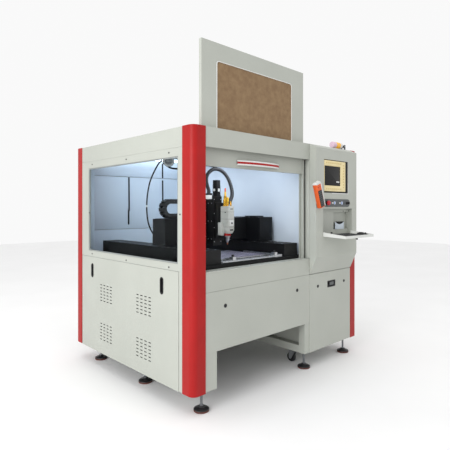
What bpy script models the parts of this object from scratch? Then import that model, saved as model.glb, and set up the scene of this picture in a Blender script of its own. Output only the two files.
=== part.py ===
"""Laser engraver: an enclosed gantry machine with a lifting front door and an operator console.

Every size is in metres and +Z is up. The machine is drawn in a corner frame: X runs from the left
flank to the right one, Y from the front plane to the back, Z up from the floor. The empty "machine"
carries that frame, so that the part's origin ends up on the floor below the middle of its outer box.
"""

import math

import bmesh
import bpy
from mathutils import Euler, Matrix, Vector

# ---------------------------------------------------------------- driving dimensions
WIDTH = 1.970
DEPTH = 1.643
HEIGHT = 1.850
GAP = 0.0003
SHEET = 0.002
SKIN = 0.004  # how far panels stand back from the column faces

COLUMN = 0.110
COLUMN_RADIUS = 0.042
BODY_BOTTOM = 0.136
FASCIA_BOTTOM = 1.7175
ROOF_TOP = 1.848

CONSOLE_LEFT = 1.2325
CABINET_RIGHT = WIDTH - COLUMN
SILL_TOP = 0.909
SILL_BOTTOM = 0.779
PANEL_BOTTOM = 0.385
FRAME_TOP = 0.790
FRAME_BOTTOM = 0.140
TUBE = 0.060
TABLE_TOP = 0.935

DOOR_LEFT = 0.118
DOOR_RIGHT = 1.216
DOOR_FRONT = 0.055
DOOR_DEPTH = 0.025
DOOR_BOTTOM = 1.602
DOOR_HEIGHT = 0.830
DOOR_GLASS = (0.253, 1.061, 1.745, 2.310)  # x and z limits of the window

CONSOLE_REACH = 0.062
CONSOLE_KNEE = 0.921
CONSOLE_BROW = 1.818
NICHE = (1.330, 1.784, 1.060, 1.316)  # x and z limits of the recess behind the tray
NICHE_BACK = -0.022
POCKET = (1.545, 1.779, 1.140, 1.285)  # x and z limits of its deeper part
POCKET_BACK = -0.001
PLATE_Z = 1.365
PLATE_FRONT = -0.0653

TRAY_HINGE = (-0.056, 1.094)  # y and z of the tray's hinge line
TRAY_TILT = math.radians(3.0)
TRAY_REACH = 0.214
TRAY_RIM = 0.016
TRAY_DROP = 0.006

BEAM_FRONT = 0.530
BEAM_BACK = 0.690
BEAM_TOP = 1.240
NOZZLE = (0.633, 0.347)
NOZZLE_TIP = 1.037
HEAD_TOP = 1.337

LAMP_AXIS = (0.056, 1.888)  # y and z of the folded signal lamp
LAMP_HINGE_X = 1.830

FEET = ((0.130, 0.070), (0.125, 0.720), (0.125, 1.420), (1.245, 0.070), (1.828, 0.060), (1.828, 1.560))
CASTERS = ((0.330, 0.350), (0.330, 1.300), (1.289, 0.205), (1.700, 1.400))
CASTER_TRAIL = 0.026
WHEEL_RADIUS = 0.040
WHEEL_CLEAR = 0.0005

TRAY_FRONT = TRAY_REACH * math.cos(TRAY_TILT) + TRAY_RIM * math.sin(TRAY_TILT) - TRAY_HINGE[0]
ORIGIN = Vector((-WIDTH / 2, (TRAY_FRONT - DEPTH) / 2, 0.0))

# ---------------------------------------------------------------- scene and materials
for leftover in list(bpy.data.objects):
    bpy.data.objects.remove(leftover, do_unlink=True)

PARTS = bpy.data.collections.new("laser_engraver")
CUTTERS = bpy.data.collections.new("cutters")
for collection in (PARTS, CUTTERS):
    bpy.context.scene.collection.children.link(collection)

MACHINE = bpy.data.objects.new("machine", None)
MACHINE.location = ORIGIN
PARTS.objects.link(MACHINE)


def paint(name, colour, roughness, metallic=0.0):
    material = bpy.data.materials.new(name)
    material.use_nodes = True
    shader = material.node_tree.nodes["Principled BSDF"]
    shader.inputs["Base Color"].default_value = (*colour, 1.0)
    shader.inputs["Roughness"].default_value = roughness
    shader.inputs["Metallic"].default_value = metallic
    material.diffuse_color = (*colour, 1.0)
    return material


GREY = paint("light_grey_enamel", (0.62, 0.63, 0.60), 0.45)
RED = paint("red_enamel", (0.52, 0.035, 0.030), 0.40)
BLACK = paint("black_anodised", (0.012, 0.012, 0.014), 0.45, 0.6)
WALL = paint("white_lining", (0.68, 0.75, 0.82), 0.50)
ALU = paint("bright_aluminium", (0.75, 0.76, 0.78), 0.30, 1.0)
KRAFT = paint("kraft_film", (0.27, 0.18, 0.10), 0.80)
CREAM = paint("cream_plastic", (0.78, 0.64, 0.36), 0.50)
CHARCOAL = paint("charcoal_plastic", (0.08, 0.085, 0.09), 0.50)
RUBBER = paint("black_rubber", (0.015, 0.015, 0.015), 0.80)
HEAD_GREY = paint("pale_head_enamel", (0.55, 0.56, 0.55), 0.40)
SIGNAL_RED = paint("signal_red_plastic", (0.45, 0.01, 0.02), 0.40)
BLUE = paint("blue_lens", (0.06, 0.20, 0.60), 0.30)
ORANGE = paint("orange_plastic", (0.85, 0.20, 0.03), 0.45)
LAMP_PINK = paint("pink_lens", (0.80, 0.55, 0.62), 0.25)
STEEL = paint("zinc_steel", (0.55, 0.55, 0.56), 0.40, 1.0)


# ---------------------------------------------------------------- modelling helpers
def place(name, bm, material):
    """Turns a bmesh into a part that hangs on the machine's corner frame."""
    bmesh.ops.recalc_face_normals(bm, faces=bm.faces)
    mesh = bpy.data.meshes.new(name)
    bm.to_mesh(mesh)
    bm.free()
    part = bpy.data.objects.new(name, mesh)
    mesh.materials.append(material)
    PARTS.objects.link(part)
    part.parent = MACHINE
    return part


def cube_into(bm, low, high):
    """Adds one box to a bmesh and returns its faces."""
    low, high = Vector(low), Vector(high)
    size = high - low
    matrix = Matrix.Translation((low + high) / 2) @ Matrix.Diagonal((*size, 1.0))
    made = bmesh.ops.create_cube(bm, size=1.0, matrix=matrix)
    return {face for vert in made["verts"] for face in vert.link_faces}


def bevelled(part, width, segments=2):
    modifier = part.modifiers.new("edges", "BEVEL")
    modifier.width = width
    modifier.segments = segments
    modifier.limit_method = "ANGLE"
    modifier.angle_limit = math.radians(40)
    return part


def box(name, low, high, material, bevel=0.0, segments=1):
    bm = bmesh.new()
    cube_into(bm, low, high)
    part = place(name, bm, material)
    return bevelled(part, bevel, segments) if bevel else part


def boxes(name, limits, material=GREY):
    """Several separate boxes in one mesh, used only as a cutter."""
    bm = bmesh.new()
    for low, high in limits:
        cube_into(bm, low, high)
    return place(name, bm, material)


def pan(name, low, high, open_side, material, sheet=SHEET):
    """A folded sheet box with one side left out; open_side is an axis letter and a sign, as "+x"."""
    axis = Vector([(1 if open_side[0] == "+" else -1) * (letter == open_side[1]) for letter in "xyz"])
    bm = bmesh.new()
    cube_into(bm, low, high)
    bm.normal_update()
    gone = [face for face in bm.faces if face.normal.dot(axis) > 0.9]
    bmesh.ops.delete(bm, geom=gone, context="FACES")
    part = place(name, bm, material)
    return solidified(part, sheet)


def solidified(part, sheet):
    wall = part.modifiers.new("wall", "SOLIDIFY")
    wall.thickness = sheet
    wall.offset = -1.0
    wall.use_even_offset = True
    return part


def prism(name, outline, axis, low, high, material, open_bottom=False):
    """An outline extruded along an axis. The outline's two numbers are the other two axes in X, Y, Z order."""
    index = "xyz".index(axis)
    bm = bmesh.new()
    ring = []
    for first, second in outline:
        point = [first, second]
        point.insert(index, low)
        ring.append(bm.verts.new(point))
    base = bm.faces.new(ring)
    made = bmesh.ops.extrude_face_region(bm, geom=[base])
    shift = [0.0, 0.0, 0.0]
    shift[index] = high - low
    moved = [item for item in made["geom"] if isinstance(item, bmesh.types.BMVert)]
    bmesh.ops.translate(bm, verts=moved, vec=shift)
    if open_bottom:
        bmesh.ops.recalc_face_normals(bm, faces=bm.faces)
        bmesh.ops.delete(bm, geom=[base], context="FACES_ONLY")
    return place(name, bm, material)


def rod(name, centre, radius, length, axis, material, sides=20, tip=None):
    """A round bar, or a cone where tip gives its other radius, centred on a point along an axis."""
    turn = {"x": Euler((0, math.pi / 2, 0)), "y": Euler((math.pi / 2, 0, 0)), "z": Euler((0, 0, 0))}[axis]
    matrix = Matrix.Translation(centre) @ turn.to_matrix().to_4x4()
    bm = bmesh.new()
    bmesh.ops.create_cone(
        bm,
        cap_ends=True,
        segments=sides,
        radius1=radius,
        radius2=radius if tip is None else tip,
        depth=length,
        matrix=matrix,
    )
    return place(name, bm, material)


def turned(name, profile, at, material, facing_front=False, sides=24):
    """A profile of (radius, height) pairs, top to bottom, turned about its axis."""
    bm = bmesh.new()
    points = [bm.verts.new((radius, 0.0, height)) for radius, height in profile]
    for first, second in zip(points, points[1:]):
        bm.edges.new((first, second))
    part = place(name, bm, material)
    part.location = at
    if facing_front:
        part.rotation_euler = (math.pi / 2, 0, 0)
    screw = part.modifiers.new("turn", "SCREW")
    screw.steps = sides
    screw.render_steps = sides
    screw.use_merge_vertices = True
    screw.merge_threshold = 0.00001
    return part


def arc(centre, radius, start, end, steps):
    """Points along an arc, angles in degrees."""
    angles = [math.radians(start + (end - start) * step / steps) for step in range(steps + 1)]
    return [(centre[0] + radius * math.cos(a), centre[1] + radius * math.sin(a)) for a in angles]


def smooth_route(corners, spacing):
    """Points a given distance apart on a smooth curve through the route's own points."""
    ends = [2 * corners[0] - corners[1], *corners, 2 * corners[-1] - corners[-2]]
    fine = []
    for i in range(1, len(ends) - 2):
        a, b, c, d = ends[i - 1 : i + 3]
        for step in range(20):
            t = step / 20
            fine.append(0.5 * (2 * b + (c - a) * t + (2 * a - 5 * b + 4 * c - d) * t**2
                               + (3 * b - a - 3 * c + d) * t**3))
    fine.append(ends[-2])
    length = sum((q - p).length for p, q in zip(fine, fine[1:]))
    count = max(4, round(length / spacing))
    chosen, walked = [fine[0]], 0.0
    for p, q in zip(fine, fine[1:]):
        walked += (q - p).length
        if walked >= length / count * len(chosen) and len(chosen) < count:
            chosen.append(q)
    return [*chosen, fine[-1]]


def tube(name, route, radius, material, spacing=0.03):
    """A round cord or hose along a route of hand-placed points."""
    curve = bpy.data.curves.new(name, "CURVE")
    curve.dimensions = "3D"
    curve.bevel_depth = radius
    curve.bevel_resolution = 2
    curve.use_fill_caps = True
    points = smooth_route([Vector(point) for point in route], spacing)
    spline = curve.splines.new("POLY")
    spline.points.add(len(points) - 1)
    for target, point in zip(spline.points, points):
        target.co = (*point, 1.0)
    curve.materials.append(material)
    part = bpy.data.objects.new(name, curve)
    PARTS.objects.link(part)
    part.parent = MACHINE
    return part


def combine(part, tool, operation):
    modifier = part.modifiers.new(tool.name, "BOOLEAN")
    modifier.operation = operation
    modifier.object = tool
    PARTS.objects.unlink(tool)
    CUTTERS.objects.link(tool)
    tool.hide_render = True
    tool.display_type = "WIRE"
    return part


def cut(part, tool):
    return combine(part, tool, "DIFFERENCE")


def fuse(part, *tools):
    for tool in tools:
        combine(part, tool, "UNION")
    return part


def hinge_on(part, point):
    """Moves a part's origin to its joint axis and leaves its shape where it is."""
    part.data.transform(Matrix.Translation(-Vector(point)))
    part.location = point
    return part


def rounded(part):
    part.data.shade_smooth()
    part.data.set_sharp_from_angle(angle=math.radians(35))
    return part


# ---------------------------------------------------------------- frame, bed and enclosure
def base_frame():
    """Welded tube frame with the lower cabinet's floor and inner wall."""
    back = DEPTH - 0.008
    low, high = FRAME_BOTTOM, FRAME_TOP
    frame = box("base_frame", (0.112, 0.0075, low), (0.210, 0.066, high), GREY)
    inner = CONSOLE_LEFT - 0.001  # inner face of the tubes beside the lower cabinet
    bars = [
        ((0.112, back - TUBE, low), (0.172, back, high)),
        ((inner - TUBE, 0.0075, low), (inner, 0.066, high)),
        ((inner - TUBE, back - TUBE, low), (inner, back, high)),
        ((1.798, 0.024, low), (1.858, 0.084, high)),
        ((1.798, back - TUBE, low), (1.858, back, high)),
        ((0.112, 0.060, low), (0.172, back - 0.01, low + TUBE)),
        ((inner - TUBE, 0.060, low), (inner, back - 0.01, low + TUBE)),
        ((1.798, 0.080, low), (1.858, back - 0.01, low + TUBE)),
        ((0.112, 0.060, high - TUBE), (0.172, back - 0.01, high)),
        ((inner - TUBE, 0.060, high - TUBE), (inner, back - 0.01, high)),
        ((1.798, 0.080, high - TUBE), (1.858, back - 0.01, high)),
        ((0.205, 0.010, high - TUBE), (inner - 0.055, 0.064, high)),
        ((0.168, back - 0.055, high - TUBE), (1.802, back - 0.003, high)),
        ((inner - 0.005, 0.026, low), (1.802, 0.080, low + TUBE)),
        ((0.168, back - 0.055, low), (1.802, back - 0.003, low + TUBE)),
        ((inner - 0.005, 0.180, low + 0.001), (1.800, 0.260, low + TUBE - 0.001)),
        ((inner - 0.005, 1.360, low + 0.001), (1.800, 1.440, low + TUBE - 0.001)),
        ((0.168, 0.310, low + 0.001), (0.380, 0.390, low + TUBE - 0.001)),
        ((0.168, 1.260, low + 0.001), (0.380, 1.340, low + TUBE - 0.001)),
    ]
    wall = ((inner - 0.003, 0.064, low + 0.05), (inner + 0.0001, back - 0.058, high - 0.05))
    floor = ((inner - 0.003, 0.076, low + TUBE - 0.004), (1.800, back - 0.053, low + TUBE - 0.002))
    for number, (start, end) in enumerate([*bars, wall, floor]):
        fuse(frame, box(f"frame_bar_{number}", start, end, GREY))
    return frame


def corner_column(name, left, front):
    """Folded red corner post with a rounded outer corner, open at its foot."""
    corner_x = 0.0 if left else WIDTH
    corner_y = 0.0 if front else DEPTH
    step_x = 1 if left else -1
    step_y = 1 if front else -1
    r, s = COLUMN_RADIUS, COLUMN
    outline = [(s, 0.0), *[(r - x, r - y) for x, y in arc((0, 0), r, 90, 0, 6)], (0.0, s), (s, s)]
    outline = [(corner_x + step_x * x, corner_y + step_y * y) for x, y in outline]
    column = prism(name, outline, "z", BODY_BOTTOM, HEIGHT, RED, open_bottom=True)
    return solidified(column, 0.003)


def roof_cover():
    """Roof and fascia folded from one sheet, notched for the columns and slotted for the door."""
    clear = COLUMN + 0.0015
    x0, x1, y0, y1 = SKIN, WIDTH - SKIN, SKIN, DEPTH - SKIN
    a, b = clear, WIDTH - clear
    c, d = clear, DEPTH - clear
    outline = [(a, y0), (b, y0), (b, c), (x1, c), (x1, d), (b, d),
               (b, y1), (a, y1), (a, d), (x0, d), (x0, c), (a, c)]
    roof = prism("roof_cover", outline, "z", FASCIA_BOTTOM, ROOF_TOP, GREY, open_bottom=True)
    solidified(roof, SHEET)
    slot = box(
        "door_slot",
        (DOOR_LEFT - 0.002, DOOR_FRONT - 0.002, ROOF_TOP - 0.02),
        (DOOR_RIGHT + 0.002, DOOR_FRONT + DOOR_DEPTH + 0.002, ROOF_TOP + 0.02),
        GREY,
    )
    return cut(roof, slot)


def side_window_frame():
    """Upper left panel with its window and inward flange, and the narrow post beside the column."""
    y0, y1 = COLUMN + 0.0015, DEPTH - COLUMN - 0.0015
    frame = box("side_window_frame", (SKIN, y0, SILL_TOP + 0.003), (SKIN + SHEET, y1, FASCIA_BOTTOM - 0.001), GREY)
    post = box("window_post", (SKIN, y0, BODY_BOTTOM), (SKIN + SHEET, 0.146, SILL_TOP + 0.01), GREY)
    flange = box("window_flange", (SKIN + 0.001, 0.155, 0.958), (0.026, 1.412, 1.662), GREY)
    hole = box("window_hole", (-0.01, 0.157, 0.960), (0.04, 1.410, 1.660), GREY)
    return cut(fuse(frame, post, flange), hole)


def vent_slots(front_y, low_z, columns=4, rows=6):
    """Limits of one group of short horizontal vent slots in the left panel."""
    pitch_y, pitch_z, length, tall = 0.0527, 0.0256, 0.030, 0.007
    return [
        ((-0.01, front_y + i * pitch_y, low_z + j * pitch_z),
         (0.03, front_y + i * pitch_y + length, low_z + j * pitch_z + tall))
        for i in range(columns) for j in range(rows)
    ]


def side_panel_left():
    """Lift-off lower left cover with four vent groups and two oblong hand pulls."""
    panel = pan("side_panel_left", (0.002, 0.148, 0.134), (0.020, 1.525, 0.910), "+x", GREY)
    groups = [slot for y in (0.464, 1.011) for z in (0.246, 0.562) for slot in vent_slots(y, z)]
    cut(panel, boxes("vents", groups))
    for name, y in (("front", 0.334), ("back", 1.337)):
        outline = arc((y, 0.835), 0.018, 0, 180, 8) + arc((y, 0.759), 0.018, 180, 360, 8)
        cut(panel, prism(f"pull_hole_{name}", outline, "x", -0.01, 0.03, GREY))
    return panel


def front_frame():
    """Sill under the front opening and the two upright channels that guide the door."""
    left, right = COLUMN + 0.0015, CONSOLE_LEFT - 0.001
    frame = box("front_frame", (left, SKIN, SILL_BOTTOM), (right, SKIN + 0.003, SILL_TOP), GREY)
    ledge = box("sill_ledge", (left, SKIN + 0.001, SILL_TOP - 0.003), (right, 0.088, SILL_TOP - 0.0001), GREY)
    front, back = DOOR_FRONT - 0.009, DOOR_FRONT + DOOR_DEPTH + 0.009
    left_guide = box("left_guide", (DOOR_LEFT - 0.0042, front, SILL_TOP - 0.002), (0.131, back, 1.838), GREY)
    right_guide = box("right_guide", (right - 0.029, front, SILL_TOP - 0.002), (right, back, 1.838), GREY)
    fuse(frame, ledge, left_guide, right_guide)
    slot_front, slot_back = DOOR_FRONT - 0.0015, DOOR_FRONT + DOOR_DEPTH + 0.0015
    groove = ((DOOR_LEFT - 0.0018, slot_front, SILL_TOP + 0.0005), (DOOR_RIGHT + 0.0018, slot_back, 1.90))
    return cut(frame, box("door_groove", *groove, GREY))


def enclosure():
    for name, left, front in (
        ("corner_column_front_left", True, True),
        ("corner_column_rear_left", True, False),
        ("corner_column_front_right", False, True),
        ("corner_column_rear_right", False, False),
    ):
        corner_column(name, left, front)
    roof_cover()
    side_window_frame()
    side_panel_left()
    front_frame()
    inner = COLUMN + 0.0015
    top = FASCIA_BOTTOM - 0.001
    box("side_panel_right", (WIDTH - SKIN - 0.003, inner, BODY_BOTTOM), (WIDTH - SKIN, DEPTH - inner, top), GREY)
    box("rear_panel", (inner, DEPTH - SKIN - 0.003, BODY_BOTTOM), (WIDTH - inner, DEPTH - SKIN, top), GREY)
    box("chamber_side_wall", (CONSOLE_LEFT, 0.0925, FRAME_TOP + 0.001), (CONSOLE_LEFT + SHEET, 1.634, 1.840), WALL)
    box("front_panel", (inner, SKIN, PANEL_BOTTOM), (CONSOLE_LEFT - 0.001, SKIN + 0.003, SILL_BOTTOM - 0.002), GREY)


def machine_bed():
    """Cast bed, hollow from below, with the table as its top."""
    return pan("machine_bed", (0.125, 0.092, FRAME_TOP + GAP), (1.225, 1.520, TABLE_TOP), "-z", BLACK, sheet=0.020)


def laser_source():
    """Fibre laser unit on the lower cabinet's floor."""
    floor = FRAME_BOTTOM + TUBE - 0.001
    return pan("laser_source", (1.290, 0.480, floor), (1.720, 1.150, floor + 0.200), "-z", CHARCOAL, sheet=0.006)


# ---------------------------------------------------------------- feet and casters
def levelling_foot(number, x, y):
    """Disc foot on a threaded stem, one turned profile."""
    profile = [(0.0, FRAME_BOTTOM - GAP), (0.008, FRAME_BOTTOM - GAP), (0.008, 0.040), (0.016, 0.038),
               (0.020, 0.028), (0.047, 0.018), (0.052, 0.012), (0.052, 0.002), (0.050, 0.0), (0.0, 0.0)]
    return rounded(turned(f"levelling_foot_{number}", profile, (x, y, 0.0), RUBBER))


def caster(number, x, y):
    """Swivel fork with its axle, and the wheel that runs on it."""
    axle_z = WHEEL_RADIUS + WHEEL_CLEAR
    axle_y = y + CASTER_TRAIL
    top = FRAME_BOTTOM - GAP
    fork = rod(f"caster_fork_{number}", (x, y, top - 0.007), 0.030, 0.014, "z", STEEL)
    crown = box("caster_crown", (x - 0.022, y - 0.028, 0.108), (x + 0.022, y + 0.040, 0.128), STEEL)
    cheeks = []
    for side in (-1, 1):
        outer, inner = x + side * 0.022, x + side * 0.018
        outline = [(y - 0.028, 0.112), (axle_y - 0.014, axle_z - 0.006), (axle_y - 0.006, axle_z - 0.014),
                   (axle_y + 0.006, axle_z - 0.014), (axle_y + 0.014, axle_z - 0.006), (y + 0.040, 0.112)]
        cheeks.append(prism(f"caster_cheek_{side}", outline, "x", min(outer, inner), max(outer, inner), STEEL))
    axle = rod("caster_axle", (x, axle_y, axle_z), 0.005, 0.043, "x", STEEL, sides=12)
    fuse(fork, crown, *cheeks, axle)
    hinge_on(fork, (x, y, top))
    wheel = rod(f"caster_wheel_{number}", (x, axle_y, axle_z), WHEEL_RADIUS, 0.028, "x", RUBBER, sides=32)
    bevelled(wheel, 0.005, 2)
    cut(wheel, rod("wheel_bore", (x, axle_y, axle_z), 0.0056, 0.05, "x", STEEL, sides=12))
    hinge_on(wheel, (x, axle_y, axle_z))
    rounded(wheel)


# ---------------------------------------------------------------- front door
def front_door():
    """Vertically sliding door: folded frame, coated window and red bow handle."""
    bottom, top = DOOR_BOTTOM, DOOR_BOTTOM + DOOR_HEIGHT
    back = DOOR_FRONT + DOOR_DEPTH
    door = pan("front_door", (DOOR_LEFT, DOOR_FRONT, bottom), (DOOR_RIGHT, back, top), "+y", GREY)
    x0, x1, z0, z1 = DOOR_GLASS
    r = 0.022
    outline = [(x0, z0), (x1, z0), *arc((x1 - r, z1 - r), r, 0, 90, 5), *arc((x0 + r, z1 - r), r, 90, 180, 5)]
    cut(door, prism("glass_hole", outline, "y", DOOR_FRONT - 0.01, DOOR_FRONT + 0.01, GREY))
    inside = DOOR_FRONT + SHEET + GAP
    box("front_door_window", (x0 - 0.012, inside, z0 - 0.012), (x1 + 0.012, inside + 0.005, z1 + 0.012), KRAFT)
    middle = (DOOR_LEFT + DOOR_RIGHT) / 2
    half, rise, thick = 0.220, 0.036, 0.007
    radius = (half**2 + rise**2) / (2 * rise)
    sweep = math.degrees(math.asin(half / radius))
    face = DOOR_FRONT - GAP
    centre = (middle, face - rise + radius)
    outer = arc(centre, radius, 270 - sweep, 270 + sweep, 14)
    inner = arc(centre, radius - thick, 270 + sweep * 0.93, 270 - sweep * 0.93, 14)
    inner = [(x, min(y, face)) for x, y in inner]
    prism("front_door_handle", outer + inner, "z", 1.632, 1.650, RED)


# ---------------------------------------------------------------- gantry, carriage and head
def y_axis_cover(name, left):
    return pan(name, (left, 0.100, TABLE_TOP + GAP), (left + 0.170, 1.455, 1.034), "-z", BLACK, sheet=0.003)


def gantry_beam():
    """Cross beam with its left leg and the long cover over the right leg's drive."""
    legs_bottom = 1.040
    beam = box("gantry_beam", (0.170, BEAM_FRONT, 1.060), (1.060, BEAM_BACK, BEAM_TOP), BLACK)
    left_leg = box("left_leg", (0.1695, BEAM_FRONT - 0.0005, legs_bottom), (0.330, BEAM_BACK + 0.0005, 1.150), BLACK)
    right_leg = box("right_leg", (1.030, 0.366, legs_bottom), (1.190, 0.760, BEAM_TOP + 0.0005), BLACK)
    lid = box("right_leg_lid", (1.050, 0.430, BEAM_TOP - 0.002), (1.150, 0.560, BEAM_TOP + 0.014), BLACK)
    tray = box("chain_shelf", (0.172, 0.565, BEAM_TOP - 0.002), (0.900, 0.655, BEAM_TOP + 0.003), BLACK)
    return fuse(beam, left_leg, right_leg, lid, tray)


def x_drag_chain():
    """Cable chain on the beam: lower run, bend at the left and upper run to the carriage."""
    low, high, thick = BEAM_TOP + 0.0035, BEAM_TOP + 0.1500, 0.036
    bend = (0.188 + (high - low) / 2, (low + high) / 2)
    outer = (high - low) / 2
    end_low, end_high = 0.860, 0.526
    outline = [(end_low, low), *[(x, z) for x, z in arc(bend, outer, 270, 90, 12)], (end_high, high),
               (end_high, high - thick), *arc(bend, outer - thick, 90, 270, 10), (end_low, low + thick)]
    chain = prism("x_drag_chain", outline, "y", 0.580, 0.640, RUBBER)
    return chain


def x_carriage():
    plate = box("x_carriage", (0.530, 0.4975, 1.062), (0.670, BEAM_FRONT - GAP, 1.400), BLACK)
    arm = box("chain_arm", (0.490, 0.500, 1.346), (0.600, 0.642, BEAM_TOP + 0.1500 - 0.0363), BLACK)
    return fuse(plate, arm)


def z_axis():
    """Fixed body of the vertical axis with its cable socket, and the motor on top."""
    body = box("z_axis_body", (0.550, 0.420, 1.030), (0.640, 0.4975 - GAP, 1.415), BLACK)
    socket = box("cable_socket", (0.512, 0.434, 1.395), (0.552, 0.470, 1.438), GREY)
    fuse(body, socket)
    box("z_motor", (0.585, 0.422, 1.415 + GAP), (0.627, 0.466, 1.542), BLACK, bevel=0.002)


def cutting_head():
    """Slide plate, optics housing, height sensor box, fibre collimator and nozzle."""
    x, y = NOZZLE
    head = box("cutting_head", (0.600, 0.297, 1.127), (0.666, 0.402, HEAD_TOP), HEAD_GREY)
    plate = box("slide_plate", (0.565, 0.400, 1.080), (0.655, 0.4195, 1.365), BLACK)
    sensor = box("sensor_box", (0.577, 0.350, 1.110), (0.602, 0.402, 1.210), HEAD_GREY)
    collimator = rod("collimator", (0.620, y + 0.010, HEAD_TOP + 0.040), 0.016, 0.084, "z", ALU, sides=16)
    bezel = rod("lens_holder", (x, y, 1.117), 0.026, 0.022, "z", RED, sides=20)
    cone = rod("nozzle_cone", (x, y, 1.081), 0.006, 0.056, "z", ALU, sides=20, tip=0.024)
    tip = rod("nozzle_tip", (x, y, (NOZZLE_TIP + 1.055) / 2), 0.003, 1.055 - NOZZLE_TIP, "z", ALU, sides=12, tip=0.006)
    return fuse(head, plate, sensor, collimator, bezel, cone, tip)


def cables():
    """Head hose, from the vertical axis to the head, and the laser fibre hanging at the left leg."""
    hose = [(0.531, 0.453, 1.4395), (0.5305, 0.453, 1.462), (0.508, 0.451, 1.517), (0.503, 0.444, 1.566),
            (0.520, 0.430, 1.604), (0.561, 0.414, 1.627), (0.625, 0.402, 1.614), (0.680, 0.390, 1.558),
            (0.702, 0.374, 1.480), (0.690, 0.356, 1.420), (0.6555, 0.341, 1.372), (0.6540, 0.340, HEAD_TOP + 0.0008)]
    tube("head_hose", hose, 0.012, RUBBER, spacing=0.028)
    fibre = [(0.2581, 0.6945, 1.690), (0.255, 0.742, 1.662), (0.250, 0.835, 1.550), (0.247, 0.878, 1.430),
             (0.247, 0.890, 1.310), (0.248, 0.868, 1.200), (0.250, 0.812, 1.125), (0.250, 0.745, 1.098),
             (0.250, BEAM_BACK + 0.0012, 1.095)]
    tube("fibre_cable", fibre, 0.006, RUBBER, spacing=0.030)


def cable_balancer():
    """Round spring balancer that hangs from the roof and carries the fibre."""
    x, y, z = 0.300, 0.664, 1.686
    body = rod("cable_balancer", (0, 0, 0), 0.045, 0.026, "y", STEEL, sides=28)
    hub = rod("balancer_hub", (0, 0, 0), 0.014, 0.040, "y", STEEL, sides=16)
    hook = rod("balancer_hook", (0, 0, 0.098), 0.005, 0.118, "z", STEEL, sides=10)
    plate = rod("balancer_plate", (0, 0, ROOF_TOP - SHEET - GAP - z - 0.003), 0.025, 0.006, "z", STEEL, sides=16)
    facing = math.atan2(-0.59, 0.81)
    for piece in (body, hub, hook, plate):
        piece.rotation_euler = (0, 0, facing)
        piece.location = (x, y, z)
    return fuse(body, hub, hook, plate)


def fixture_rails():
    """Aluminium locating rails on the table, with two clamps."""
    low, high = TABLE_TOP + GAP, 0.953
    rails = box("fixture_rails", (0.345, 0.110, low), (1.010, 0.136, high), ALU)
    side = box("side_rail", (0.985, 0.112, low), (1.009, 0.520, high - 0.001), ALU)
    clamps = [box(f"clamp_{n}", (x, 0.106, low + 0.001), (x + 0.032, 0.142, 0.974), BLACK)
              for n, x in enumerate((0.455, 0.915))]
    return fuse(rails, side, *clamps)


# ---------------------------------------------------------------- operator console
def console_shell():
    """Folded console front with a sloped chin, screen opening, niche and remote's magnet."""
    back = SKIN - 0.0018
    front = -CONSOLE_REACH
    outline = [(back, SILL_BOTTOM + 0.001), (front, CONSOLE_KNEE), (front, CONSOLE_BROW), (back, ROOF_TOP)]
    bm = bmesh.new()
    rings = []
    for x in (CONSOLE_LEFT, CABINET_RIGHT):
        rings.append([bm.verts.new((x, y, z)) for y, z in outline])
    bm.faces.new(rings[0])
    bm.faces.new(rings[1])
    for i in range(3):
        bm.faces.new((rings[0][i], rings[0][i + 1], rings[1][i + 1], rings[1][i]))
    shell = solidified(place("console_shell", bm, GREY), SHEET)
    x0, x1, z0, z1 = NICHE
    wall = 0.002
    niche = box("niche_box", (x0 - wall, front + 0.0010, z0 - wall), (x1 + wall, NICHE_BACK + wall, z1 + wall), GREY)
    px0, px1, pz0, pz1 = POCKET
    outer = (px0 - wall, NICHE_BACK + 0.0012, pz0 - wall), (px1 + wall, POCKET_BACK + 0.0022, pz1 + wall)
    fuse(shell, niche, box("pocket_box", *outer, GREY))
    cut(shell, box("niche_hollow", (x0, front - 0.01, z0), (x1, NICHE_BACK, z1), GREY))
    cut(shell, box("pocket_hollow", (px0, NICHE_BACK - 0.01, pz0), (px1, POCKET_BACK, pz1), GREY))
    cut(shell, box("screen_hole", (1.344, front - 0.01, 1.450), (1.712, front + 0.01, 1.727), GREY))
    fuse(shell, rod("remote_magnet", (1.251, -0.0645, 1.430), 0.014, 0.0065, "y", BLACK, sides=16))
    return shell


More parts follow.
